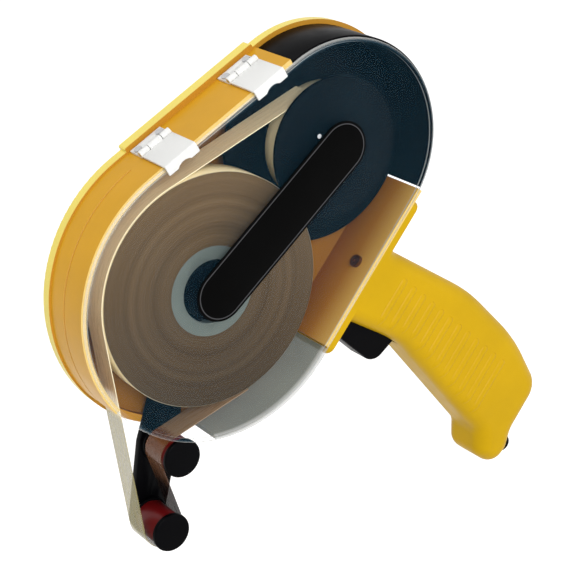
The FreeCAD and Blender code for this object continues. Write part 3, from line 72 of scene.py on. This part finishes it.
def joint_place(name):
    """A point of a joint's axis, in metres."""
    return next(row["pos_m"] for row in frame["record"]["behaviour"]["joints"] if row["name"] == name)


SUPPLY = joint_place("supply_spin")
TAKEUP = joint_place("takeup_spin")


# Camera at the photograph's viewing angle

PHOTO_WIDTH = 576
LENS = 110.2
SENSOR = 36.0
AZIMUTH = math.radians(-34.03)
ELEVATION = math.radians(20.85)
TARGET = Vector((37.7, -24.5, -6.6)) * MM
DISTANCE = 750 * MM
NEAREST_SEEN = 10 * MM
back = Vector((math.sin(AZIMUTH) * math.cos(ELEVATION),
               -math.cos(AZIMUTH) * math.cos(ELEVATION), math.sin(ELEVATION)))
camera_data = bpy.data.cameras.new("camera")
camera_data.lens = LENS
camera_data.sensor_width = SENSOR
camera_data.clip_start = NEAREST_SEEN
camera = bpy.data.objects.new("camera", camera_data)
camera.location = TARGET + back * DISTANCE
camera.rotation_euler = back.to_track_quat("Z", "Y").to_euler()
scene.collection.objects.link(camera)
scene.camera = camera


def under_pixel(pixel, plane_y):
    """The point of a plane across Y that a pixel of the photograph shows."""
    step = SENSOR / LENS / PHOTO_WIDTH
    half = PHOTO_WIDTH / 2
    ray = Vector(((pixel[0] - half) * step, (half - pixel[1]) * step, -1.0))
    ray.rotate(camera.rotation_euler)
    return camera.location + ray * ((plane_y - camera.location.y) / ray.y)


# Shader building blocks

def new_material(name):
    made = bpy.data.materials.new(name)
    made.use_nodes = True
    tree = made.node_tree
    tree.nodes.clear()
    output = tree.nodes.new("ShaderNodeOutputMaterial")
    shader = tree.nodes.new("ShaderNodeBsdfPrincipled")
    tree.links.new(shader.outputs[0], output.inputs[0])
    return made, tree, shader


def place(tree):
    """Object coordinates, which are the row's own frame in metres."""
    return tree.nodes.new("ShaderNodeTexCoord").outputs["Object"]


def part_of(tree, vector, axis):
    split = tree.nodes.new("ShaderNodeSeparateXYZ")
    tree.links.new(vector, split.inputs[0])
    return split.outputs[axis]


def depth_in(tree):
    """Millimetres forward of the back face."""
    return maths(tree, "MULTIPLY", part_of(tree, place(tree), "Y"), -1 / MM)


def height_in(tree):
    """Millimetres above the supply axis."""
    return maths(tree, "MULTIPLY", part_of(tree, place(tree), "Z"), 1 / MM)


def facing_front(tree):
    """1 where the surface looks forward, -1 where it looks back, 0 on the sides."""
    normal = tree.nodes.new("ShaderNodeTexCoord").outputs["Normal"]
    return maths(tree, "MULTIPLY", part_of(tree, normal, "Y"), -1.0)


def facing_inside(tree):
    """1 on the tray's walls where they look into the tray, 0 on their outer sides."""
    normal = tree.nodes.new("ShaderNodeTexCoord").outputs["Normal"]
    where = place(tree)
    across = maths(tree, "SUBTRACT", part_of(tree, where, "X"), (SUPPLY[0] + TAKEUP[0]) / 2)
    up = maths(tree, "SUBTRACT", part_of(tree, where, "Z"), (SUPPLY[2] + TAKEUP[2]) / 2)
    outward = maths(tree, "ADD", maths(tree, "MULTIPLY", across, part_of(tree, normal, "X")),
                    maths(tree, "MULTIPLY", up, part_of(tree, normal, "Z")))
    return grey(tree, outward, 1.0, 0.0, -INSIDE_BLEND, 0.0)


def noise(tree, scale, detail=2.0, rough=0.5, stretch=None):
    vector = place(tree)
    if stretch:
        mapping = tree.nodes.new("ShaderNodeMapping")
        mapping.inputs["Scale"].default_value = stretch
        tree.links.new(vector, mapping.inputs["Vector"])
        vector = mapping.outputs[0]
    node = tree.nodes.new("ShaderNodeTexNoise")
    node.inputs["Scale"].default_value = scale
    node.inputs["Detail"].default_value = detail
    node.inputs["Roughness"].default_value = rough
    tree.links.new(vector, node.inputs["Vector"])
    return node.outputs["Fac"]


def noise_along(tree, value, scale, detail=2.0):
    node = tree.nodes.new("ShaderNodeTexNoise")
    node.noise_dimensions = "1D"
    node.inputs["Scale"].default_value = scale
    node.inputs["Detail"].default_value = detail
    tree.links.new(value, node.inputs["W"])
    return node.outputs[0]


def ramp(tree, value, *stops):
    node = tree.nodes.new("ShaderNodeValToRGB")
    ends = node.color_ramp.elements
    while len(ends) < len(stops):
        ends.new(0.5)
    for end, (spot, colour) in zip(ends, stops):
        end.position = spot
        end.color = (*colour, 1.0)
    tree.links.new(value, node.inputs[0])
    return node.outputs[0]


def grey(tree, value, low, high, start=0.3, end=0.7):
    """A number that goes from low to high as value goes from start to end."""
    node = tree.nodes.new("ShaderNodeMapRange")
    node.inputs["From Min"].default_value = start
    node.inputs["From Max"].default_value = end
    node.inputs["To Min"].default_value = low
    node.inputs["To Max"].default_value = high
    tree.links.new(value, node.inputs["Value"])
    return node.outputs[0]


def maths(tree, operation, a, b=None):
    node = tree.nodes.new("ShaderNodeMath")
    node.operation = operation
    for socket, value in zip(node.inputs, (a, b)):
        if value is None:
            continue
        if isinstance(value, (int, float)):
            socket.default_value = value
        else:
            tree.links.new(value, socket)
    return node.outputs[0]


def mixed(tree, share, first, second):
    """Two colours or two sockets, the second one taking over as share goes to 1."""
    node = tree.nodes.new("ShaderNodeMix")
    node.data_type = "RGBA"
    tree.links.new(share, node.inputs["Factor"])
    for socket, value in ((node.inputs[6], first), (node.inputs[7], second)):
        if isinstance(value, tuple):
            socket.default_value = (*value, 1.0)
        else:
            tree.links.new(value, socket)
    return node.outputs[2]


def between(tree, share, low, high):
    """A number that goes from low to high as share goes from 0 to 1."""
    return grey(tree, share, low, high, 0.0, 1.0)


def bump(tree, shader, height, strength, distance):
    node = tree.nodes.new("ShaderNodeBump")
    node.inputs["Strength"].default_value = strength
    node.inputs["Distance"].default_value = distance
    tree.links.new(height, node.inputs["Height"])
    tree.links.new(node.outputs[0], shader.inputs["Normal"])


def shades(colour, spread):
    """A darker and a lighter version of one colour."""
    return [tuple(min(1.0, c * (1 + side * spread)) for c in colour) for side in (-1, 1)]


def times(colour, factor):
    return tuple(c * factor for c in colour)


def mottled(tree, colour, spread, scale=38):
    dark, light = shades(colour, spread)
    return ramp(tree, noise(tree, scale, 4, 0.55), (0.3, dark), (0.7, light))


def radius_from(tree, centre):
    """Distance in millimetres from an axis that runs along Y through centre."""
    where = place(tree)
    across = maths(tree, "SUBTRACT", part_of(tree, where, "X"), centre[0])
    up = maths(tree, "SUBTRACT", part_of(tree, where, "Z"), centre[2])
    square = maths(tree, "ADD", maths(tree, "MULTIPLY", across, across), maths(tree, "MULTIPLY", up, up))
    return maths(tree, "MULTIPLY", maths(tree, "SQRT", square), 1 / MM)


# Materials

# In millimetres of depth: where the painted highlight on the pale back rim ends, and how deep the tray
# and its cover's rim lie
RIM_HIGHLIGHT_END_DEPTHS = (4.9, 5.7)
TRAY_DEPTH = 32.0
COVER_RIM_DEPTHS = (29.5, 31.5)
# In millimetres from the supply axis: where a web leaves the tray, and how low it has to be there
WEB_LEAVES_RADII = (63.5, 65.5)
WEB_FREE_HEIGHTS = (-24.0, -18.0)
INSIDE_BLEND = 2 * MM
# How far up and down, and how dark and light, the painted shade and light on the wound faces go
ROLL_PAINTED_SHADE_REACH = 50 * MM
ROLL_PAINTED_SHADE_LOW = 0.60
ROLL_PAINTED_LIGHT_HIGH = 1.60
CLEAR_SHADOW = 0.15
GRAIN_HEIGHT = 0.06 * MM
RELIEF_HEIGHT = 0.1 * MM


def moulded(tree, shader, rough, gloss, grain=0.05):
    """What every moulded plastic has: uneven gloss and a very fine grain."""
    tree.links.new(grey(tree, noise(tree, 120, 3), rough[0], rough[1]), shader.inputs["Roughness"])
    bump(tree, shader, noise(tree, 1500, 2), grain, GRAIN_HEIGHT)
    shader.inputs["Specular IOR Level"].default_value = gloss


def plastic(name, colour, spread=0.08, rough=(0.30, 0.40), gloss=0.25, grain=0.05):
    """Moulded plastic with faint flow mottling."""
    made, tree, shader = new_material(name)
    tree.links.new(mottled(tree, colour, spread), shader.inputs["Base Color"])
    moulded(tree, shader, rough, gloss, grain)
    return made


def tray_plastic(name):
    """The tray's yellow: paler round the back rim, a painted highlight, and amber inside with painted
    shade that darkens it the deeper it lies and leaves the walls' front edges pale.
    """
    made, tree, shader = new_material(name)
    depth = depth_in(tree)
    front = facing_front(tree)
    sideways = grey(tree, maths(tree, "ABSOLUTE", front), 1.0, 0.0, 0.55, 0.95)
    # Painted highlight: the back rim's outer sides are a paler yellow
    rim_highlight = maths(tree, "MULTIPLY", grey(tree, depth, 1.0, 0.0, *RIM_HIGHLIGHT_END_DEPTHS), sideways)
    along = grey(tree, depth, 0.0, 1.0, 0.0, TRAY_DEPTH)
    wall = mixed(tree, rim_highlight, mottled(tree, (0.68, 0.350, 0.018), 0.06),
                 mottled(tree, (0.92, 0.76, 0.17), 0.04))
    # Painted shade: inside the tray the walls are darker and more amber the deeper they lie
    amber_depth_shade = ramp(tree, along, (0.10, (0.27, 0.085, 0.004)), (0.55, (0.42, 0.17, 0.012)),
                 (0.97, (0.70, 0.42, 0.09)))
    wall = mixed(tree, facing_inside(tree), wall, amber_depth_shade)
    # Painted shade: the forward-facing ledges and floor darken with depth and are palest at the front
    # edges
    ledges_depth_shade = ramp(tree, along, (0.07, (0.30, 0.125, 0.012)), (0.20, (0.62, 0.30, 0.03)),
                  (0.95, (0.80, 0.57, 0.19)))
    forward = grey(tree, front, 0.0, 1.0, 0.4, 0.9)
    tree.links.new(mixed(tree, forward, wall, ledges_depth_shade), shader.inputs["Base Color"])
    moulded(tree, shader, (0.30, 0.38), 0.14)
    return made


def wound(name, centre, dark, light, outside):
    """Wound tape: fine uneven rings on the faces, painted light and shade that make them paler upward,
    and one colour on the outermost turn.
    """
    made, tree, shader = new_material(name)
    radius = radius_from(tree, centre)
    lines = noise_along(tree, radius, 2.4, 3.0)
    bands = noise_along(tree, radius, 0.20)
    rings = maths(tree, "ADD", maths(tree, "MULTIPLY", lines, 0.45), maths(tree, "MULTIPLY", bands, 0.55))
    # Painted light and shade: each face is darker low down and paler high up round the axis
    low, high = [ramp(tree, rings, (0.32, times(dark, painted_shade)), (0.68, times(light, painted_shade)))
                 for painted_shade in (ROLL_PAINTED_SHADE_LOW, ROLL_PAINTED_LIGHT_HIGH)]
    up = maths(tree, "SUBTRACT", part_of(tree, place(tree), "Z"), centre[2])
    faces = mixed(tree, grey(tree, up, 0.0, 1.0, -ROLL_PAINTED_SHADE_REACH, ROLL_PAINTED_SHADE_REACH), low, high)
    edge = grey(tree, maths(tree, "ABSOLUTE", facing_front(tree)), 1.0, 0.0, 0.35, 0.7)
    tree.links.new(mixed(tree, edge, faces, outside), shader.inputs["Base Color"])
    tree.links.new(grey(tree, lines, 0.36, 0.48), shader.inputs["Roughness"])
    shader.inputs["Specular IOR Level"].default_value = 0.12
    shader.inputs["Anisotropic"].default_value = 0.75
    around = tree.nodes.new("ShaderNodeTangent")
    around.direction_type = "RADIAL"
    around.axis = "Y"
    tree.links.new(around.outputs[0], shader.inputs["Tangent"])
    bump(tree, shader, lines, 0.2, RELIEF_HEIGHT)
    return made


def metal(name, colour, rough):
    """Metal with fine streaks."""
    made, tree, shader = new_material(name)
    shader.inputs["Metallic"].default_value = 1.0
    dark, light = shades(colour, 0.12)
    streaks = noise(tree, 500, 3, 0.6, stretch=(1.0, 6.0, 1.0))
    tree.links.new(ramp(tree, streaks, (0.3, dark), (0.7, light)), shader.inputs["Base Color"])
    tree.links.new(grey(tree, streaks, rough[0], rough[1]), shader.inputs["Roughness"])
    bump(tree, shader, streaks, 0.05, RELIEF_HEIGHT)
    return made


def web(name, inside, outside, see_through, painted_shade=None):
    """A thin web: solid where it lies in the tray, a translucent film where it hangs free.

    The last argument is (low, high, colour), a painted shade: from high down to low in height the film
    goes over to that colour and grows less see-through.
    """
    made, tree, shader = new_material(name)
    height = height_in(tree)
    free = maths(tree, "MULTIPLY", grey(tree, radius_from(tree, SUPPLY), 0.0, 1.0, *WEB_LEAVES_RADII),
                 grey(tree, height, 1.0, 0.0, *WEB_FREE_HEIGHTS))
    seen = maths(tree, "MULTIPLY", free, see_through)
    fibres = noise(tree, 90, 4, 0.6, stretch=(1.0, 10.0, 1.0))
    dark, light = shades(outside, 0.18)
    film = ramp(tree, fibres, (0.3, dark), (0.7, light))
    if painted_shade:
        # Painted shade: below the given height the film darkens to the given colour
        painted_shade_share = grey(tree, height, 1.0, 0.0, painted_shade[0], painted_shade[1])
        film = mixed(tree, painted_shade_share, film, painted_shade[2])
        seen = maths(tree, "MULTIPLY", seen, between(tree, painted_shade_share, 1.0, 0.5))
    tree.links.new(mixed(tree, free, mottled(tree, inside, 0.04), film), shader.inputs["Base Color"])
    tree.links.new(maths(tree, "SUBTRACT", 1.0, seen), shader.inputs["Alpha"])
    tree.links.new(grey(tree, fibres, 0.22, 0.34), shader.inputs["Roughness"])
    bump(tree, shader, fibres, 0.06, RELIEF_HEIGHT)
    shader.inputs["Specular IOR Level"].default_value = 0.5
    return made


def clear_plastic(name):
    """Clear moulded sheet: a faint cool haze on the panel, partly a tint and partly a painted cool
    reflection, a painted milky highlight at the rim, smoky down the wall.

    It casts only a faint shadow, as clear plastic does.
    """
    made, tree, shader = new_material(name)
    sideways = maths(tree, "SUBTRACT", 1.0, maths(tree, "ABSOLUTE", facing_front(tree)))
    deep = grey(tree, depth_in(tree), 1.0, 0.0, *COVER_RIM_DEPTHS)
    haze = noise(tree, 26, 3)
    panel = grey(tree, haze, 0.012, 0.016)
    share = between(tree, deep, 0.56, 0.74)
    rise = maths(tree, "MULTIPLY", sideways, maths(tree, "SUBTRACT", share, panel))
    seen = maths(tree, "ADD", panel, rise)
    lets_light = tree.nodes.new("ShaderNodeLightPath").outputs["Is Shadow Ray"]
    tree.links.new(maths(tree, "MULTIPLY", seen, between(tree, lets_light, 1.0, CLEAR_SHADOW)),
                   shader.inputs["Alpha"])
    # Painted highlight: the rim's sides are a milky near-white
    milky_rim_highlight = mottled(tree, (0.88, 0.89, 0.86), 0.03)
    smoky = mottled(tree, (0.21, 0.22, 0.17), 0.10)
    walls = mixed(tree, deep, milky_rim_highlight, smoky)
    # The panel's cool haze colour is partly a tint and partly a painted cool reflection
    cool_haze_reflection = ramp(tree, haze, (0.3, (0.11, 0.40, 0.64)), (0.7, (0.14, 0.46, 0.70)))
    tree.links.new(mixed(tree, grey(tree, sideways, 0.0, 1.0, 0.05, 0.4), cool_haze_reflection, walls),
                   shader.inputs["Base Color"])
    tree.links.new(grey(tree, noise(tree, 200, 2), 0.05, 0.09), shader.inputs["Roughness"])
    shader.inputs["Specular IOR Level"].default_value = 0.5
    return made


CREAM = (0.97, 0.85, 0.56)
MATERIALS = {
    "yellow_plastic": tray_plastic("yellow_plastic"),
    "handle_plastic": plastic("handle_plastic", (0.61, 0.368, 0.003), 0.05, (0.34, 0.44), 0.10, 0.10),
    "black_plastic": plastic("black_plastic", (0.0018, 0.0018, 0.0024), 0.25, (0.30, 0.42), 0.03),
    "clear_plastic": clear_plastic("clear_plastic"),
    "label_black": plastic("label_black", (0.0015, 0.0015, 0.0015), 0.2, (0.42, 0.55), 0.02, 0.03),
    "white_plastic": plastic("white_plastic", (0.82, 0.82, 0.80), 0.03, (0.28, 0.36), 0.3),
    "steel": metal("steel", (0.50, 0.50, 0.51), (0.28, 0.40)),
    # tape_film: painted shade darkens the free film to near black below the guide
    "tape_film": web("tape_film", (0.28, 0.18, 0.10), (0.26, 0.11, 0.05), 0.50,
                     (-86.0, -74.0, (0.020, 0.013, 0.012))),
    "tape_wound": wound("tape_wound", SUPPLY, (0.062, 0.036, 0.013), (0.116, 0.074, 0.034), CREAM),
    "liner_paper": web("liner_paper", CREAM, (0.37, 0.32, 0.12), 0.45),
    "core_card": plastic("core_card", (0.145, 0.170, 0.150), 0.10, (0.45, 0.6), 0.2),
    "felt": plastic("felt", (0.05, 0.05, 0.05), 0.3, (0.85, 0.95), 0.1, 0.6),
    "red_plastic": plastic("red_plastic", (0.125, 0.003, 0.004), 0.12, (0.30, 0.40), 0.25),
    "pad_rubber": plastic("pad_rubber", (0.012, 0.012, 0.012), 0.2, (0.6, 0.8), 0.1, 0.3),
}
OWN_MATERIALS = {
    # The mount screw is dark steel, and its brown tint is a painted reflection of the amber tray round it
    "mount_screw": metal("steel_amber_reflection", (0.20, 0.09, 0.03), (0.40, 0.52)),
    "liner_winding": wound("liner_wound", TAKEUP, (0.20, 0.165, 0.11), (0.34, 0.29, 0.19), CREAM),
}
# The label's border line is grey as a painted edge highlight
label_line_highlight = plastic("label_line_highlight", (0.060, 0.060, 0.064), 0.1, (0.4, 0.5), 0.1)
# A pale grey-white that paints a small glint on the cover's nub
glint_nub_white = plastic("glint_nub_white", (0.55, 0.56, 0.58), 0.05, (0.2, 0.3), 0.5)


# Pieces

LABEL_RADIUS = 11.5 * MM
LINE_INSET = 1.0 * MM
LINE_WIDTH = 0.45 * MM
LINE_SHOULDER = 0.08 * MM
LINE_RISE = 0.05 * MM
GLINT_NUB_PIXEL = (319.5, 136.3)
# Radius, and height over the panel's front, of the outline of the pale nub that paints a glint
GLINT_NUB_PROFILE = ((0.05, 0.32), (0.45, 0.30), (0.80, 0.18), (1.00, 0.0), (0.70, -0.10), (0.05, -0.10))
CORE_OUTER = 19.6 * MM
SPOOL_OUTER = 12.0 * MM
LAYER_SINKS = (0.01, 0.09)
LAYER_WIDTHS = (0.45, 1.1)
LAYER_FLAT_SHARE = 0.82
ROLL_EDGE = 0.35 * MM
LAST_LAYER = 0.9 * MM
ROLL_SEGMENTS = 200
MARK_SEGMENTS = 32
WELD = 0.002 * MM
FLAT_WITHIN = math.radians(0.4)
SOFTENED = {
    "label_plate": 0.15, "hinge_strap_lower": 0.2, "hinge_strap_upper": 0.2, "hinge_base_lower": 0.15,
    # The reel guard's black is a dark piece that paints the dark reflection round the take-up lobe
    "hinge_base_upper": 0.15, "reel_guard": 0.25, "nose_arm": 0.3,
    "guide_hub": 0.2, "applicator_hub": 0.2, "guide_sleeve": 0.15, "applicator_sleeve": 0.15,
    "guide_cap": 0.2, "applicator_cap": 0.2, "supply_hub": 0.15, "tape_core": 0.15,
    "takeup_spool": 0.2, "takeup_flange": 0.2, "supply_retainer": 0.1, "takeup_retainer": 0.1,
    "heel_plug": 0.2, "trigger": 0.2,
}


def add_piece(name, mesh, body, slot, *replaced, material=None):
    piece = bpy.data.objects.new(name, mesh)
    scene.collection.objects.link(piece)
    mesh.materials.clear()
    mesh.materials.append(material or MATERIALS[slot])
    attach(piece, body)
    if replaced:
        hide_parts(*replaced)


def stand_in(node, mesh):
    """Adds a mesh in place of a CAD node, on the node's body and in its slot."""
    add_piece(node + "_look", mesh, BODY_OF[node], SLOT_OF[node], node,
              material=OWN_MATERIALS.get(node))


def smooth(mesh, angle=32):
    for face in mesh.polygons:
        face.use_smooth = True
    mesh.set_sharp_from_angle(angle=math.radians(angle))


def softened(node, width, segments=2, angle=28):
    """A piece that stands for a CAD node, of the same shape with its edges softened by width in mm."""
    shape = bmesh.new()
    shape.from_mesh(nodes[node].data)
    bmesh.ops.remove_doubles(shape, verts=shape.verts, dist=WELD)
    bmesh.ops.dissolve_limit(shape, angle_limit=FLAT_WITHIN, verts=shape.verts, edges=shape.edges)
    sharp = [edge for edge in shape.edges
             if len(edge.link_faces) == 2 and edge.calc_face_angle(0.0) > math.radians(angle)]
    bmesh.ops.bevel(shape, geom=sharp, offset=width * MM, offset_type="OFFSET", segments=segments,
                    profile=0.5, affect="EDGES", clamp_overlap=True)
    mesh = bpy.data.meshes.new(node + "_look")
    shape.to_mesh(mesh)
    shape.free()
    smooth(mesh)
    stand_in(node, mesh)


def lathed(name, profile, centre, segments):
    """A mesh turned round an axis along Y; the profile is a closed list of (radius, y) in metres."""
    shape = bmesh.new()
    rings = []
    for radius, y in profile:
        ring = []
        for step in range(segments):
            turn = 2 * math.pi * step / segments
            ring.append(shape.verts.new((centre[0] + radius * math.cos(turn), y,
                                         centre[2] + radius * math.sin(turn))))
        rings.append(ring)
    for index, ring in enumerate(rings):
        outer = rings[(index + 1) % len(rings)]
        for step in range(segments):
            ahead = (step + 1) % segments
            shape.faces.new((ring[step], ring[ahead], outer[ahead], outer[step]))
    bmesh.ops.recalc_face_normals(shape, faces=shape.faces)
    mesh = bpy.data.meshes.new(name)
    shape.to_mesh(mesh)
    shape.free()
    return mesh


def wound_roll(node, inner, centre, seed):
    """A wound roll whose layers stand unevenly deep on both faces, inside the node's own size."""
    draw = random.Random(seed)
    low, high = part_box(node)
    outer = (high[0] - low[0]) / 2
    faces = []
    for front, inward in ((low[1], 1), (high[1], -1)):
        steps = []
        radius = inner
        while radius < outer - LAST_LAYER:
            sink = draw.uniform(*LAYER_SINKS) * MM
            width = draw.uniform(*LAYER_WIDTHS) * MM
            steps.append((radius, front + inward * sink))
            steps.append((radius + width * LAYER_FLAT_SHARE, front + inward * sink))
            radius += width
        steps.append((outer - ROLL_EDGE, front))
        steps.append((outer, front + inward * ROLL_EDGE))
        faces.append(steps)
    mesh = lathed(node + "_look", faces[0] + faces[1][::-1], centre, ROLL_SEGMENTS)
    smooth(mesh, 50)
    stand_in(node, mesh)


def capsule(centre_a, centre_b, radius, steps=40):
    """Points of two half circles joined by straight sides, in the X and Z plane."""
    heading = math.atan2(centre_b[1] - centre_a[1], centre_b[0] - centre_a[0])
    points = []
    for centre, start in ((centre_b, heading - math.pi / 2), (centre_a, heading + math.pi / 2)):
        for step in range(steps + 1):
            turn = start + math.pi * step / steps
            points.append((centre[0] + radius * math.cos(turn), centre[1] + radius * math.sin(turn)))
    return points


def label_border():
    """A thin raised line that runs round the label plate, a little inside its edge, in a grey that paints
    an edge highlight.
    """
    low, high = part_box("label_plate")
    centre_a = (low[0] + LABEL_RADIUS, low[2] + LABEL_RADIUS)
    centre_b = (high[0] - LABEL_RADIUS, high[2] - LABEL_RADIUS)
    outer = LABEL_RADIUS - LINE_INSET
    inner = outer - LINE_WIDTH
    profile = ((outer, 0.0), (outer - LINE_SHOULDER, LINE_RISE), (inner + LINE_SHOULDER, LINE_RISE),
               (inner, 0.0), (inner + LINE_SHOULDER, -LINE_RISE), (outer - LINE_SHOULDER, -LINE_RISE))
    shape = bmesh.new()
    loops = []
    for reach, rise in profile:
        outline = capsule(centre_a, centre_b, reach)
        loops.append([shape.verts.new((x, low[1] - rise, z)) for x, z in outline])
    for index, loop in enumerate(loops):
        beside = loops[(index + 1) % len(loops)]
        for step in range(len(loop)):
            ahead = (step + 1) % len(loop)
            shape.faces.new((loop[step], loop[ahead], beside[ahead], beside[step]))
    bmesh.ops.recalc_face_normals(shape, faces=shape.faces)
    mesh = bpy.data.meshes.new("label_border")
    shape.to_mesh(mesh)
    shape.free()
    smooth(mesh, 40)
    add_piece("label_border", mesh, BODY_OF["label_plate"], "label_black", material=label_line_highlight)


def glint_nub():
    """A small pale nub on the clear panel beside the label, whose colour paints a glint."""
    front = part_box("clear_cover")[0][1]
    centre = under_pixel(GLINT_NUB_PIXEL, front)
    profile = [(radius * MM, front - rise * MM) for radius, rise in GLINT_NUB_PROFILE]
    mesh = lathed("cover_glint_nub", profile, centre, MARK_SEGMENTS)
    smooth(mesh, 50)
    add_piece("cover_glint_nub", mesh, BODY_OF["clear_cover"], "clear_plastic", material=glint_nub_white)


for name, width in SOFTENED.items():
    softened(name, width)
wound_roll("tape_roll", CORE_OUTER, SUPPLY, 5)
wound_roll("liner_winding", SPOOL_OUTER, TAKEUP, 9)
label_border()
glint_nub()

for name, node in nodes.items():
    node.data.materials.clear()
    node.data.materials.append(OWN_MATERIALS.get(name) or MATERIALS[SLOT_OF[name]])


# Floor, light and background

FLOOR_SIDE = 4.0
FLOOR_DROP = 12 * MM
FLOOR_GLOW = 0.55
WORLD_LIGHT = 0.5
WORLD_SEEN = 1.0
LAMP_AIM = (0.03, -0.02, 0.0)
# Place, size and power of each lamp
LAMPS = {
    "key": ((-0.50, -1.50, 0.72), 0.8, 17.0),
    "fill": ((1.2, -1.3, 0.5), 1.2, 4.0),
    "top": ((-0.3, 0.5, 1.5), 1.0, 6.0),
}


def seen_directly(tree):
    """1 for what the camera sees itself, in a reflection or through something clear."""
    rays = tree.nodes.new("ShaderNodeLightPath")
    mirrored = maths(tree, "MAXIMUM", rays.outputs["Is Camera Ray"], rays.outputs["Is Glossy Ray"])
    return maths(tree, "MAXIMUM", mirrored, rays.outputs["Is Transmission Ray"])


def floor_paper():
    """White paper that keeps the object's shadow and looks white to the camera."""
    made = bpy.data.materials.new("floor")
    made.use_nodes = True
    tree = made.node_tree
    tree.nodes.clear()
    output = tree.nodes.new("ShaderNodeOutputMaterial")
    paper = tree.nodes.new("ShaderNodeBsdfDiffuse")
    speckle = ramp(tree, noise(tree, 4, 2), (0.3, (0.80, 0.80, 0.80)), (0.7, (0.84, 0.84, 0.84)))
    tree.links.new(speckle, paper.inputs["Color"])
    glow = tree.nodes.new("ShaderNodeEmission")
    glow.inputs["Strength"].default_value = FLOOR_GLOW
    both = tree.nodes.new("ShaderNodeAddShader")
    tree.links.new(paper.outputs[0], both.inputs[0])
    tree.links.new(glow.outputs[0], both.inputs[1])
    choice = tree.nodes.new("ShaderNodeMixShader")
    tree.links.new(seen_directly(tree), choice.inputs[0])
    tree.links.new(paper.outputs[0], choice.inputs[1])
    tree.links.new(both.outputs[0], choice.inputs[2])
    tree.links.new(choice.outputs[0], output.inputs[0])
    return made


def floor(level):
    """A flat floor a little below the object's lowest point."""
    mesh = bpy.data.meshes.new("floor")
    corners = [(x * FLOOR_SIDE, y * FLOOR_SIDE, level) for x, y in ((-1, -1), (1, -1), (1, 1), (-1, 1))]
    mesh.from_pydata(corners, [], [(0, 1, 2, 3)])
    mesh.materials.append(floor_paper())
    made = bpy.data.objects.new("floor", mesh)
    made.location.z = -FLOOR_DROP
    scene.collection.objects.link(made)
    made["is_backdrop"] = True


def white_world():
    """A soft light from all round that the camera sees as white."""
    world = bpy.data.worlds.new("world")
    scene.world = world
    world.use_nodes = True
    tree = world.node_tree
    tree.nodes.clear()
    output = tree.nodes.new("ShaderNodeOutputWorld")
    sky = tree.nodes.new("ShaderNodeBackground")
    sky.inputs["Color"].default_value = (1.0, 1.0, 1.0, 1.0)
    tree.links.new(between(tree, seen_directly(tree), WORLD_LIGHT, WORLD_SEEN), sky.inputs["Strength"])
    tree.links.new(sky.outputs[0], output.inputs[0])


def area_light(name, spot, size, power):
    data = bpy.data.lights.new(name, "AREA")
    data.shape = "DISK"
    data.size = size
    data.energy = power
    lamp = bpy.data.objects.new(name, data)
    lamp.location = spot
    lamp.rotation_euler = (Vector(spot) - Vector(LAMP_AIM)).to_track_quat("Z", "Y").to_euler()
    scene.collection.objects.link(lamp)


floor(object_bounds()[0][2])
white_world()
for name, (spot, size, power) in LAMPS.items():
    area_light(name, spot, size, power)
